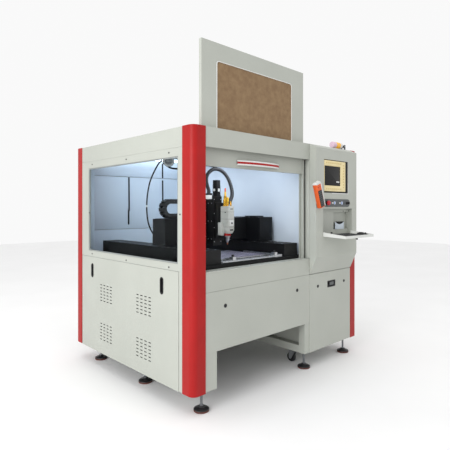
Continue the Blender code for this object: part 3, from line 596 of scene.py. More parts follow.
@dataclass
class Workshop:
    """Puts finished meshes and finishes into the model, and keeps count of the pieces."""

    shift: Array
    nodes: dict[str, bpy.types.Object]
    made: list[str] = field(default_factory=list)

    def add(self, name: str, shell: Shell, finish: Finish, body: str, slot: str, *, smooth: float = 35.0,
            replaces: Sequence[str] = ()) -> bpy.types.Object:
        """Makes one piece in the model's frame.

        Args:
            name: the piece's name.
            shell: its mesh in the corner frame.
            finish: what it is made of.
            body: the moving body that it rides on.
            slot: not used.
            smooth: edges sharper than this many degrees stay sharp.
            replaces: frame parts that it stands for.

        Returns:
            The new object.
        """
        mesh = bpy.data.meshes.new(name)
        mesh.from_pydata((shell.points + self.shift).tolist(), [], [row for f in shell.faces for row in f.tolist()])
        mesh.validate()
        mesh.materials.append(finish.material())
        mesh.shade_smooth()
        mesh.set_sharp_from_angle(angle=math.radians(smooth))
        made = bpy.data.objects.new(name, mesh)
        bpy.context.scene.collection.objects.link(made)
        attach(made, body)
        if replaces:
            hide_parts(*replaces)
        self.made.append(name)
        LOG.info("%s: %d faces in %s", name, len(mesh.polygons), finish.name)
        return made

    def bend(self, piece: bpy.types.Object, bodies: tuple[str, str], start: Vec, end: Vec) -> None:
        """Takes a piece off its body and bakes its place into its mesh.

        Args:
            piece: the object.
            bodies: not used.
            start: not used.
            end: not used.
        """
        piece.parent = None
        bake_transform(piece)

    def dress(self, finish: Finish, *nodes: str, edge: float = 0.0) -> None:
        """Gives frame parts a finish and, where edge is set, a small rounded edge.

        Args:
            finish: what the parts are made of.
            nodes: names of frame parts.
            edge: radius of the rounded edges in metres.
        """
        for name in nodes:
            part = self.nodes[name]
            for place in part.material_slots:
                place.material = finish.material()
            if not edge:
                continue
            weld = part.modifiers.new("joined_corners", "WELD")
            weld.merge_threshold = WELD_M
            bevel = part.modifiers.new("rounded_edges", "BEVEL")
            bevel.width = edge
            bevel.segments = BEVEL_SEGMENTS
            bevel.limit_method = "ANGLE"
            bevel.angle_limit = math.radians(BEVEL_FROM_DEG)
            bevel.harden_normals = False


# ---------------------------------------------------------------- the machine
@dataclass
class Studio:
    """Camera, soft lights, pale floor and white surroundings."""

    shift: Array
    eye: Vec = (-1.7091, -2.0902, 1.3267)
    heading_deg: float = 43.53
    lens_mm: float = 34.68
    rise: float = -0.0389
    sensor_mm: float = 36.0
    sky_strength: float = 0.95
    floor_half: float = 14.0
    floor_z: float = -0.0005

    def camera(self) -> None:
        """Level camera at standing eye height off the front left corner, framed with a small vertical shift."""
        data = bpy.data.cameras.new("studio_camera")
        data.lens, data.sensor_width, data.shift_y = self.lens_mm, self.sensor_mm, self.rise
        camera = bpy.data.objects.new("studio_camera", data)
        camera.location = np.array(self.eye) + self.shift
        camera.rotation_euler = (math.pi / 2, 0.0, -math.radians(self.heading_deg))
        bpy.context.scene.collection.objects.link(camera)
        bpy.context.scene.camera = camera

    def lamp(self, name: str, at: Vec, aim: Vec, size: float, watts: float, colour: str) -> None:
        """One square area light.

        Args:
            name: the light's name.
            at: where it hangs, in the corner frame.
            aim: the point it faces.
            size: side of the square.
            watts: its power.
            colour: its sRGB colour.
        """
        data = bpy.data.lights.new(name, "AREA")
        data.size, data.energy, data.color = size, watts, linear(colour)[:3]
        lamp = bpy.data.objects.new(name, data)
        lamp.location = np.array(at) + self.shift
        away = lamp.location - type(lamp.location)(np.array(aim) + self.shift)
        lamp.rotation_euler = away.to_track_quat("Z", "Y").to_euler()
        bpy.context.scene.collection.objects.link(lamp)

    def build(self) -> None:
        """Sets the camera first, then the lights, the surroundings and the floor."""
        self.camera()
        self.lamp("key_softbox", (-5.4, -0.9, 2.6), (0.4, 0.6, 0.9), 3.0, 210, "#FFFFFF")
        self.lamp("top_softbox", (0.2, 0.4, 5.4), (0.9, 0.7, 0.0), 4.5, 60, "#FFFFFF")
        self.lamp("chamber_strip_front", (0.74, 0.24, 1.74), (0.95, 1.20, 1.1), 0.30, 3.4, "#EAF2FF")
        self.lamp("chamber_strip_rear", (0.80, 1.05, 1.79), (0.80, 1.2, 1.0), 0.50, 3.2, "#EAF2FF")
        world = bpy.data.worlds.new("white_surround")
        world.use_nodes = True
        sky = world.node_tree.nodes["Background"]
        sky.inputs["Color"].default_value = (1.0, 1.0, 1.0, 1.0)
        sky.inputs["Strength"].default_value = self.sky_strength
        bpy.context.scene.world = world
        bpy.context.scene.view_settings.view_transform = "Standard"
        half = self.floor_half
        corners = np.array([(-half, -half, 0), (half, -half, 0), (half, half, 0), (-half, half, 0)], float)
        mesh = bpy.data.meshes.new("studio_floor")
        mesh.from_pydata(corners.tolist(), [], [(0, 1, 2, 3)])
        mesh.materials.append(FLOOR.material())
        floor = bpy.data.objects.new("studio_floor", mesh)
        floor.location.z = self.floor_z
        bpy.context.scene.collection.objects.link(floor)


@dataclass
class Enclosure:
    """Corner posts, roof, panels, pane, pulls, vents, locks and the sheet lining inside."""

    shop: Workshop
    width: float = 1.970
    depth: float = 1.643
    height: float = 1.850
    post: float = 0.110
    post_radius: float = 0.045
    foot_z: float = 0.136
    skin: float = 0.004

    def posts(self) -> None:
        """Folded posts: a square whose outer corner is a quarter circle, with the cap a touch inside."""
        s, r = self.post, self.post_radius
        angle = np.linspace(np.pi, 1.5 * np.pi, 17)
        corner = np.stack([r + r * np.cos(angle), r + r * np.sin(angle)], -1)
        outline = np.vstack([corner, [(s - 0.003, 0.0), (s, 0.003), (s, s), (0.003, s), (0.0, s - 0.003)]])
        for name, x, y in (("front_left", 0, 0), ("front_right", 1, 0), ("rear_left", 0, 1), ("rear_right", 1, 1)):
            ring = outline * (1 - 2 * x, 1 - 2 * y) + (x * self.width, y * self.depth)
            ring = ring[::-1] if x != y else ring
            shell = plate(ring, self.height - self.foot_z, 0.0025, Facing.UP, (0.0, 0.0, self.foot_z), back_edge=0.001)
            self.shop.add(f"{name}_post", shell, RED_COAT, "machine", "red_enamel", replaces=(f"corner_column_{name}",))

    def panes(self) -> None:
        """Clear side pane held behind the flange by a rubber bead."""
        y0, y1, z0, z1 = 0.159, 1.408, 0.962, 1.658
        middle = (0.0, (y0 + y1) / 2, (z0 + z1) / 2)
        pane = plate(rectangle(y1 - y0, z1 - z0, 0.01), 0.004, 0.0005, Facing.LEFT, (0.020, *middle[1:]))
        self.shop.add("side_pane", pane, GLASS, "machine", "light_grey_enamel")
        outer = rectangle(y1 - y0 + 0.002, z1 - z0 + 0.002, 0.010)
        inner = rectangle(y1 - y0 - 0.014, z1 - z0 - 0.014, 0.006)
        rows = [(outer, 0.0), (outer, 0.006), (inner, 0.006), (inner, 0.0), (outer, 0.0)]
        rings = tiers(rows)
        bead = loft(Facing.LEFT.carry(rings, (0.0135, *middle[1:])), False, False)
        self.shop.add("side_pane_bead", bead, BEAD, "machine", "black_rubber")

    def pulls(self) -> None:
        """Oblong cups set into the lower left cover: a lip, a sloping wall and a sunk floor."""
        lip = rectangle(0.040, 0.118, 0.0199, 8)
        mouth = rectangle(0.031, 0.108, 0.0154, 8)
        floor = rectangle(0.026, 0.100, 0.0129, 8)
        for name, y in (("front", 0.334), ("rear", 1.337)):
            pull = cup(lip, mouth, floor, 0.0015, 0.014, Facing.LEFT, (0.002, y, 0.797))
            self.shop.add(f"{name}_hand_pull", pull, ABS_BLACK, "machine", "charcoal_plastic")

    def screws(self) -> None:
        """Button screws round the side window, on the sill and on the roof fascia."""
        sides = [(0.004, y, z) for y, z in ((1.395, 1.282), (1.346, 0.935), (0.796, 0.929), (0.254, 0.930),
                                            (0.134, 1.282), (0.254, 1.690), (0.796, 1.690), (1.346, 1.690))]
        self.shop.add("side_frame_screws", button_screws(sides, Facing.LEFT, 0.0060), ABS_BLACK, "machine",
                      "zinc_steel")
        right = [(self.width - self.skin, y, z) for y in (0.18, 0.60, 1.04, 1.46) for z in (0.20, 0.92, 1.66)]
        self.shop.add("right_side_screws", button_screws(right, Facing.RIGHT), ZINC, "machine", "zinc_steel")
        rear = [(x, self.depth - self.skin, z) for x in (0.16, 0.70, 1.25, 1.81) for z in (0.20, 0.92, 1.66)]
        self.shop.add("rear_screws", button_screws(rear, Facing.REAR), ZINC, "machine", "zinc_steel")

    def lock(self, x: float, y: float, z: float, facing: Facing) -> Shell:
        """A quarter-turn lock: turned bezel with a triangular stud.

        Args:
            x: across the machine.
            y: from front to back.
            z: above the floor.
            facing: the way it faces.

        Returns:
            Both pieces as one mesh.
        """
        bezel = lathe([(0.0135, 0.0), (0.0135, 0.0012), (0.0118, 0.0026), (0.0086, 0.0026), (0.0082, 0.0008)],
                      facing, (x, y, z), 28)
        stud = lathe([(0.0048, 0.0), (0.0048, 0.0018), (0.0042, 0.0022)], facing, (x, y, z), 3)
        return bezel + stud

    def locks(self) -> None:
        """Two locks on the fixed front panel and two on the right flank."""
        front = self.lock(0.284, 0.004, 0.672, Facing.FRONT) + self.lock(1.068, 0.004, 0.672, Facing.FRONT)
        self.shop.add("front_panel_locks", front, ABS_BLACK, "machine", "charcoal_plastic")
        x = self.width - self.skin
        side = self.lock(x, 0.30, 0.672, Facing.RIGHT) + self.lock(x, 1.34, 0.672, Facing.RIGHT)
        self.shop.add("right_side_locks", side, ABS_BLACK, "machine", "charcoal_plastic")

    def louvres(self) -> None:
        """Dark plates behind the vents as painted shade, and pressed louvres on the right flank.

        A hood is a half ellipse carried along its length, its height times sqrt(1 - (s / 0.0555)^6) at distance s
        from the middle.
        """
        for name, y in (("front", 0.557), ("rear", 1.106)):
            for level, z in (("low", 0.311), ("high", 0.628)):
                # Each near-black plate is painted shade seen through the vent slots.
                back = plate(rectangle(0.230, 0.190, 0.004), 0.001, 0.0002, Facing.LEFT, (0.0075, y, z))
                self.shop.add(f"vent_painted_shade_{name}_{level}", back, DARK_GAP, "machine", "charcoal_plastic")
        steps = 9
        t = np.linspace(0, np.pi, steps)
        across, rise = 0.006 * np.cos(t), 0.0045 * np.sin(t)
        along = np.linspace(-0.055, 0.055, steps)
        swell = np.sqrt(np.clip(1 - (along / 0.0555) ** 6, 0, 1))
        grid = np.broadcast_to(along[:, None], (steps, steps)), np.broadcast_to(across, (steps, steps))
        rings = np.stack([*grid, np.maximum(rise * swell[:, None], 0.0)], -1)
        shell = loft(Facing.RIGHT.carry(rings, (0.0, 0.0, 0.0)))
        shell = Shell(shell.points, tuple(f[:, ::-1] for f in shell.faces))
        spots = [(self.width - self.skin, y, z + 0.022 * k)
                 for y in (0.46, 1.18) for z in (0.28, 1.36) for k in range(7)]
        self.shop.add("right_side_louvres", shell.repeated(spots), GREY_COAT, "machine", "light_grey_enamel")

    def lining(self) -> None:
        """Painted sheet behind the gantry, with pressed seams and two cable slots."""
        y = 1.620
        low, high = 0.796, 1.838
        bands = ((low, 1.118), (1.122, 1.618), (1.622, high))
        for level, (z0, z1) in enumerate(bands, start=1):
            sheet = plate(rectangle(1.110, z1 - z0, 0.002, 2), 0.004, 0.0012, Facing.FRONT, (0.672, y, (z0 + z1) / 2))
            self.shop.add(f"rear_lining_{level}", sheet, LINING, "machine", "white_lining")
        # The cable slots are drawn as dark plates on the lining: painted shade in the openings.
        slots = (plate(rectangle(0.017, 0.456, 0.006), 0.0014, 0.0003, Facing.FRONT, (0.522, y - 0.004, 1.390))
                 + plate(rectangle(0.017, 0.150, 0.006), 0.0014, 0.0003, Facing.FRONT, (0.914, y - 0.004, 1.700))
                 + plate(rectangle(0.017, 0.240, 0.006), 0.0014, 0.0003, Facing.FRONT, (0.914, y - 0.004, 1.484)))
        self.shop.add("rear_lining_slot_shade", slots, DARK_GAP, "machine", "charcoal_plastic")
        corner = block((0.0270, 1.5260, 0.9135), (0.1200, 1.5300, 1.7160), 0.0015, Facing.FRONT)
        near = block((0.0270, 0.1120, 0.9135), (0.1090, 0.1150, 1.7160), 0.0010, Facing.FRONT)
        self.shop.add("left_corner_linings", corner + near, LINING, "machine", "white_lining")
        backing = block((0.0066, 0.1300, 1.7130), (0.0080, 1.5100, 1.7240), 0.0004, Facing.FRONT)
        self.shop.add("window_frame_backing_strip", backing, GREY_COAT, "machine", "light_grey_enamel")
        ceiling = plate(rectangle(1.090, 1.380, 0.004), 0.003, 0.0008, Facing.DOWN, (0.672, 0.840, 1.8445))
        self.shop.add("chamber_ceiling", ceiling, LINING, "machine", "white_lining")
        strips = (block((0.20, 0.170, 1.812), (1.15, 0.195, 1.834), 0.004)
                  + block((0.20, 1.540, 1.790), (1.15, 1.565, 1.812), 0.004))
        self.shop.add("chamber_light_strips", strips, LED, "machine", "white_lining")

    def seals(self) -> None:
        """Rubber strip between the door channel and the console, and the bright folded lip of the sill."""
        strip = block((1.2175, 0.0395, 0.912), (1.2220, 0.0457, 1.7165), 0.0015, Facing.FRONT)
        self.shop.add("console_seal_strip", strip, SEAL, "machine", "black_rubber")
        cheek = block((1.2302, 0.0025, 0.9125), (1.2322, 0.0455, 1.7165), 0.0006, Facing.FRONT)
        self.shop.add("console_return_flange", cheek, GREY_COAT, "machine", "light_grey_enamel")
        lip = block((0.1120, 0.0015, 0.9030), (1.2310, 0.0400, 0.9108), 0.0018)
        self.shop.add("sill_folded_lip", lip, GREY_COAT, "machine", "light_grey_enamel")

    def services(self) -> None:
        """Exhaust collar, mains inlet box and gland on the rear panel."""
        back = self.depth - self.skin
        collar = lathe([(0.082, 0.0), (0.082, 0.003), (0.076, 0.005), (0.0755, 0.016), (0.073, 0.017), (0.0725, 0.002)],
                       Facing.REAR, (0.62, back, 1.46), 48)
        self.shop.add("exhaust_collar", collar, ZINC, "machine", "zinc_steel")
        # A dark disc inside the collar: painted shade in the duct.
        dark = plate(circle(0.072, 40), 0.0012, 0.0003, Facing.REAR, (0.62, back, 1.46))
        self.shop.add("exhaust_opening_shade", dark, DARK_GAP, "machine", "charcoal_plastic")
        box = plate(rectangle(0.120, 0.160, 0.006), 0.014, 0.003, Facing.REAR, (1.62, back, 0.34))
        self.shop.add("mains_inlet_box", box, ABS_BLACK, "machine", "charcoal_plastic")
        gland = lathe([(0.016, 0.0), (0.016, 0.006), (0.013, 0.007), (0.013, 0.013), (0.009, 0.014)],
                      Facing.REAR, (1.44, back, 0.34), 6)
        self.shop.add("cable_gland", gland, NYLON, "machine", "charcoal_plastic")

    def build(self) -> None:
        """Dresses the sheet parts, then adds the fittings."""
        self.shop.dress(GREY_COAT, "roof_cover", "side_window_frame", "side_panel_left", "side_panel_right",
                        "rear_panel", "front_frame", "front_panel", "base_frame")
        self.shop.dress(LINING, "chamber_side_wall")
        self.posts()
        self.panes()
        self.pulls()
        self.screws()
        self.locks()
        self.louvres()
        self.lining()
        self.seals()
        self.services()


@dataclass
class LiftingDoor:
    """Raised front door with its papered window and bow handle."""

    shop: Workshop
    face_y: float = 0.055
    left: float = 0.118
    right: float = 1.216
    handle_z: float = 1.641

    def handle(self) -> None:
        """Bow handle: a pale strip along a flat arc, with a red grip band round it.

        The arc stands out by rise (1 - t^2)^0.75, and the section is a superellipse whose sine and cosine are
        taken to the power 0.5.
        """
        half, rise, steps = 0.224, 0.033, 49
        t = np.linspace(-1, 1, steps)
        middle = (self.left + self.right) / 2
        centre = np.stack([middle + half * t, self.face_y - 0.0050 - rise * (1 - t**2) ** 0.75,
                           np.full(steps, self.handle_z)], -1)
        angle = np.linspace(0, 2 * np.pi, 24, endpoint=False)
        along = np.gradient(centre, axis=0)
        along /= np.linalg.norm(along, axis=1, keepdims=True)
        up = np.array((0.0, 0.0, 1.0))
        side = np.cross(along, up)
        flat = np.sign(np.cos(angle)) * np.abs(np.cos(angle)) ** 0.5
        tall = np.sign(np.sin(angle)) * np.abs(np.sin(angle)) ** 0.5
        for name, deep, high, finish, stands in (("bow_handle", 0.0042, 0.0185, WHITE_PLASTIC, ("front_door_handle",)),
                                                 ("handle_grip", 0.0050, 0.0088, RED_COAT, ())):
            rings = centre[:, None] + deep * flat[None, :, None] * side[:, None] + high * tall[None, :, None] * up
            self.shop.add(f"door_{name}", loft(rings), finish, "front_door", "red_enamel", replaces=stands)

    def window_trim(self) -> None:
        """Pale gasket round the window, from just outside its opening to over the paper's edge."""
        x0, x1, z0, z1 = 0.253, 1.061, 1.745, 2.310
        outer = rectangle(x1 - x0 + 0.006, z1 - z0 + 0.006, 0.024, 6)
        inner = rectangle(x1 - x0 - 0.004, z1 - z0 - 0.004, 0.020, 6)
        rows = [(outer, 0.0), (outer, 0.0022), (inner, 0.0030), (inner, -0.0018)]
        rings = tiers(rows)
        origin = ((x0 + x1) / 2, self.face_y + 0.0003, (z0 + z1) / 2)
        gasket = loft(Facing.FRONT.carry(rings, origin), False, False)
        self.shop.add("door_window_gasket", gasket, WHITE_PLASTIC, "front_door", "light_grey_enamel")

    def build(self) -> None:
        """Dresses the door and its window, then adds the handle and trim."""
        self.shop.dress(GREY_COAT, "front_door")
        self.shop.dress(KRAFT, "front_door_window")
        self.handle()
        self.window_trim()


@dataclass
class Gantry:
    """Covers, beam, drag chain, carriage and vertical axis."""

    shop: Workshop
    chain_low: float = 1.2435
    chain_high: float = 1.390
    chain_thick: float = 0.036
    chain_pitch: float = 0.030
    chain_left_x: float = 0.188
    chain_start_x: float = 0.855
    chain_end_x: float = 0.512

    def chain(self) -> None:
        """Drag chain: one link, repeated square to a centre line of two runs and a half circle.

        At distance s along the line, x falls from chain_start_x on the lower run, swings by radius sin(turn) round
        the bend, and rises on the upper run; each link is turned by pi less the bend's angle there.
        """
        low = self.chain_low + self.chain_thick / 2
        high = self.chain_high - self.chain_thick / 2
        radius = (high - low) / 2
        bend_x = self.chain_left_x + self.chain_thick / 2 + radius
        lower, bend = self.chain_start_x - bend_x, math.pi * radius
        count = int((lower + bend + self.chain_end_x - bend_x) / self.chain_pitch)
        s = (np.arange(count) + 0.5) * self.chain_pitch
        turn = np.clip((s - lower) / radius, 0, math.pi)
        x = np.where(s < lower, self.chain_start_x - s,
                     np.where(s < lower + bend, bend_x - radius * np.sin(turn), bend_x + s - lower - bend))
        z = np.where(s < lower, low, np.where(s < lower + bend, low + radius - radius * np.cos(turn), high))
        heading = math.pi - turn
        half = self.chain_thick / 2 - 0.0005
        lid = half - 0.0003
        link = (block((-0.0160, 0.5812, -half), (0.0160, 0.5847, half), 0.004, Facing.FRONT)
                + block((-0.0160, 0.6353, -half), (0.0160, 0.6388, half), 0.004, Facing.FRONT)
                + block((-0.0075, 0.5840, 0.0135), (0.0075, 0.6360, lid), 0.001)
                + block((-0.0075, 0.5840, -lid), (0.0075, 0.6360, -0.0135), 0.001)
                + lathe([(0.0065, 0.0), (0.0065, 0.0008), (0.0055, 0.0012)], Facing.FRONT, (0.0100, 0.5812, 0.0), 10))
        c, sn = np.cos(heading)[:, None], np.sin(heading)[:, None]
        own_x, own_y, own_z = link.points.T[:, None]
        placed = np.stack([own_x * c - own_z * sn + x[:, None], np.broadcast_to(own_y, (count, own_y.size)),
                           own_x * sn + own_z * c + z[:, None]], -1)
        made = self.shop.add("drag_chain_links", link.copies(placed), NYLON, "gantry", "black_plastic",
                             replaces=("x_drag_chain",))
        self.shop.bend(made, ("gantry", "carriage"), (0.45, 0.61, self.chain_low + 0.02), (0.45, 0.61, self.chain_high))

    def covers(self) -> None:
        """Rows of cap screws along the axis covers, the beam and its drive housing."""
        rows = [(x, y, 1.0338) for x in (0.185, 0.315, 1.045, 1.175) for y in np.arange(0.14, 1.44, 0.075)]
        self.shop.add("axis_cover_screws", button_screws(rows, Facing.UP, 0.0042), ZINC, "machine", "zinc_steel")
        lid = (block((1.0285, 0.3645, 1.2380), (1.1915, 0.7615, 1.2440), 0.0015)
               + block((1.0290, 0.3652, 1.0405), (1.1910, 0.3662, 1.2380), 0.0004, Facing.FRONT))
        self.shop.add("drive_housing_lid", lid, BLACK_PAINT, "gantry", "black_anodised")
        caps = [(x, y, 1.244) for x in (1.040, 1.180) for y in (0.385, 0.50, 0.62, 0.74)]
        self.shop.add("drive_housing_screws", button_screws(caps, Facing.UP, 0.0042), ZINC, "gantry", "zinc_steel")
        seams = block((0.168, 0.0985, 0.9352), (0.332, 0.1005, 1.0345), 0.0008, Facing.FRONT)
        seams += block((1.028, 0.0985, 0.9352), (1.192, 0.1005, 1.0345), 0.0008, Facing.FRONT)
        self.shop.add("axis_cover_end_plates", seams, ANODISED, "machine", "black_anodised")

    def vertical_axis(self) -> None:
        """Motor with cooling ribs, bright screws, tags of the cable sockets and the side strip."""
        rib_z = np.arange(1.428, 1.500, 0.0075)
        ribs = sum((block((0.5835, 0.4205, z), (0.6285, 0.4675, z + 0.0035), 0.0012) for z in rib_z),
                   block((0.5820, 0.4190, 1.4155), (0.6300, 0.4690, 1.4240), 0.0015))
        cap = block((0.5855, 0.4225, 1.506), (0.6265, 0.4655, 1.5435), 0.003)
        self.shop.add("z_motor_ribs", ribs + cap, BLACK_PAINT, "carriage", "black_anodised")
        plugs = (block((0.598, 0.4120, 1.452), (0.612, 0.4215, 1.476), 0.002)
                 + block((0.5745, 0.436, 1.456), (0.5850, 0.452, 1.474), 0.002))
        self.shop.add("z_motor_plugs", plugs, WHITE_PLASTIC, "carriage", "light_grey_enamel")
        front = [(x, 0.420, z) for x in (0.560, 0.630) for z in (1.06, 1.17, 1.28, 1.39)]
        side = [(0.550, y, z) for y in (0.44, 0.48) for z in (1.08, 1.22, 1.36)]
        screws = button_screws(front, Facing.FRONT, 0.0038) + button_screws(side, Facing.LEFT, 0.0038)
        self.shop.add("z_axis_screws", screws, ZINC, "carriage", "zinc_steel")
        socket = (block((0.5105, 0.4325, 1.392), (0.5500, 0.4715, 1.424), 0.004)
                  + lathe([(0.0165, 0.0), (0.0165, 0.010), (0.0150, 0.0135)], Facing.UP, (0.531, 0.453, 1.4235), 24))
        self.shop.add("hose_socket", socket, WHITE_PLASTIC, "carriage", "light_grey_enamel")
        strip = block((0.5285, 0.4990, 1.10), (0.5302, 0.5280, 1.38), 0.0006, Facing.LEFT)
        self.shop.add("carriage_scale_strip", strip, MILLED, "carriage", "bright_aluminium")
        plate_screws = [(x, 0.4975, z) for x in (0.538, 0.655) for z in (1.10, 1.20, 1.30, 1.38)]
        self.shop.add("carriage_screws", button_screws(plate_screws, Facing.FRONT, 0.0042), ZINC, "carriage",
                      "zinc_steel")

    def build(self) -> None:
        """Dresses the machine's axes, then adds their fittings."""
        self.shop.dress(ANODISED, "x_carriage", "z_axis_body", "z_motor", edge=0.001)
        self.shop.dress(BLACK_PAINT, "gantry_beam", "y_axis_cover_left", "y_axis_cover_right", edge=0.0015)
        self.covers()
        self.chain()
        self.vertical_axis()


@dataclass
class CuttingHead:
    """Optics housing, lens drawer, gas ring, nozzle and connectors."""

    shop: Workshop
    axis: tuple[float, float] = (0.633, 0.347)
    middle: tuple[float, float] = (0.633, 0.3485)
    fibre_axis: tuple[float, float] = (0.618, 0.357)
    plug_axis: tuple[float, float] = (0.612, 0.322)
    tip: float = 1.037

    def housing(self) -> Shell:
        """A tall rounded box that narrows at its foot, as one closed mesh.

        Each row is a height, with the width, depth and corner radius of the rounded rectangle there.
        """
        rows = [(1.125, 0.046, 0.070, 0.010), (1.131, 0.054, 0.080, 0.010), (1.150, 0.064, 0.094, 0.008),
                (1.330, 0.064, 0.094, 0.008), (1.335, 0.061, 0.091, 0.008), (1.337, 0.056, 0.086, 0.008)]
        return loft(tiers([(rectangle(w, d, r, 5) + self.middle, z) for z, w, d, r in rows]))

    def turn(self, name: str, profile: Profile, axis: tuple[float, float], sides: int, finish: Finish,
             slot: str = "bright_aluminium") -> None:
        """Adds one turned piece that stands upright on the head.

        Args:
            name: the piece's name.
            profile: (radius, height above the floor) pairs.
            axis: X and Y of its axis.
            sides: how many sides stand for the circle.
            finish: what it is made of.
            slot: a slot name, passed on to Workshop.add.
        """
        self.shop.add(name, lathe(profile, Facing.UP, (*axis, 0.0), sides), finish, "head", slot)

    def build(self) -> None:
        """Shapes the head around the beam's axis."""
        shop = self.shop
        housing = self.housing() + block((0.577, 0.350, 1.110), (0.6015, 0.399, 1.210), 0.004)
        shop.add("head_housing", housing, HEAD_COAT, "head", "pale_head_enamel", replaces=("cutting_head",))
        shop.add("head_slide_plate", block((0.565, 0.3975, 1.080), (0.655, 0.4193, 1.365), 0.002), ANODISED, "head",
                 "black_anodised")
        lines = sum((block((0.6007, 0.3012, z), (0.6653, 0.3960, z + 0.0012), 0.0004) for z in (1.236, 1.292)),
                    block((0.6007, 0.3012, 1.176), (0.6655, 0.3960, 1.1772), 0.0004))
        shop.add("head_joint_lines", lines, DARK_GAP, "head", "black_anodised")
        drawer = block((0.612, 0.2985, 1.184), (0.654, 0.3020, 1.228), 0.0015, Facing.FRONT)
        knob = lathe([(0.0075, 0.0), (0.0075, 0.003), (0.0062, 0.0045)], Facing.FRONT, (0.633, 0.2990, 1.206), 20)
        shop.add("lens_drawer", drawer, WHITE_PLASTIC, "head", "pale_head_enamel")
        shop.add("lens_drawer_knob", knob, ABS_BLACK, "head", "black_anodised")
        marks = (block((0.618, 0.3005, 1.312), (0.648, 0.3014, 1.318), 0.0004, Facing.FRONT)
                 + block((0.616, 0.3005, 1.148), (0.650, 0.3014, 1.158), 0.0004, Facing.FRONT)
                 + block((0.5985, 0.330, 1.286), (0.6012, 0.344, 1.292), 0.0008, Facing.LEFT))
        shop.add("head_inlays", marks, DARK_GAP, "head", "black_anodised")
        screws = [(px, 0.3015, pz) for px in (0.609, 0.657) for pz in (1.165, 1.243, 1.284, 1.326)]
        sides = [(0.601, py, pz) for py in (0.318, 0.380) for pz in (1.243, 1.326)]
        shop.add("head_screws", button_screws(screws, Facing.FRONT, 0.0030) + button_screws(sides, Facing.LEFT, 0.0030),
                 ZINC, "head", "zinc_steel")
        fitting = lathe([(0.0055, 1.336), (0.0055, 1.350), (0.0075, 1.351), (0.0075, 1.364), (0.0045, 1.366),
                         (0.0045, 1.375)], Facing.UP, (0.0, 0.0, 0.0), 6)
        fittings = fitting.repeated([(0.644, 0.366, 0.0), (*self.plug_axis, 0.0), (0.640, 0.318, 0.0)])
        self.turn("gas_ring", [(0.020, 1.105), (0.0262, 1.107), (0.0262, 1.123), (0.0235, 1.127)],
                  self.axis, 36, RED_COAT, "red_enamel")
        self.turn("gas_ring_collar", [(0.0235, 1.1265), (0.0235, 1.1360), (0.0225, 1.137)],
                  self.axis, 36, ZINC, "zinc_steel")
        self.turn("nozzle_cone", [(0.0058, 1.052), (0.0075, 1.057), (0.0135, 1.070), (0.0165, 1.073), (0.0170, 1.079),
                                  (0.0215, 1.094), (0.0242, 1.1045), (0.0235, 1.106)], self.axis, 36, ZINC)
        self.turn("nozzle_tip", [(0.0022, self.tip), (0.0032, self.tip + 0.001), (0.0058, 1.047), (0.0060, 1.054)],
                  self.axis, 24, COPPER)
        self.turn("collimator", [(0.0185, 1.336), (0.0185, 1.345), (0.0160, 1.347), (0.0160, 1.372), (0.0175, 1.374),
                                 (0.0175, 1.386), (0.0130, 1.389), (0.0120, 1.410), (0.0075, 1.418)],
                  self.fibre_axis, 32, BRASS)
        shop.add("gas_fittings", fittings, BRASS, "head", "bright_aluminium")
        self.turn("sensor_plug", [(0.0060, 1.372), (0.0080, 1.374), (0.0080, 1.402), (0.0060, 1.406)],
                  self.plug_axis, 20, SIGNAL_YELLOW)
        self.turn("fibre_plug", [(0.0050, 1.416), (0.0075, 1.419), (0.0075, 1.446), (0.0050, 1.449)],
                  self.fibre_axis, 20, SIGNAL_YELLOW)
        self.turn("fibre_plug_cap", [(0.0045, 1.447), (0.0060, 1.450), (0.0060, 1.474), (0.0035, 1.478)],
                  self.fibre_axis, 20, ORANGE)
        self.turn("hose_end_collar", [(0.0150, 1.336), (0.0150, 1.352), (0.0135, 1.356)],
                  (0.6540, 0.340), 24, ZINC, "zinc_steel")


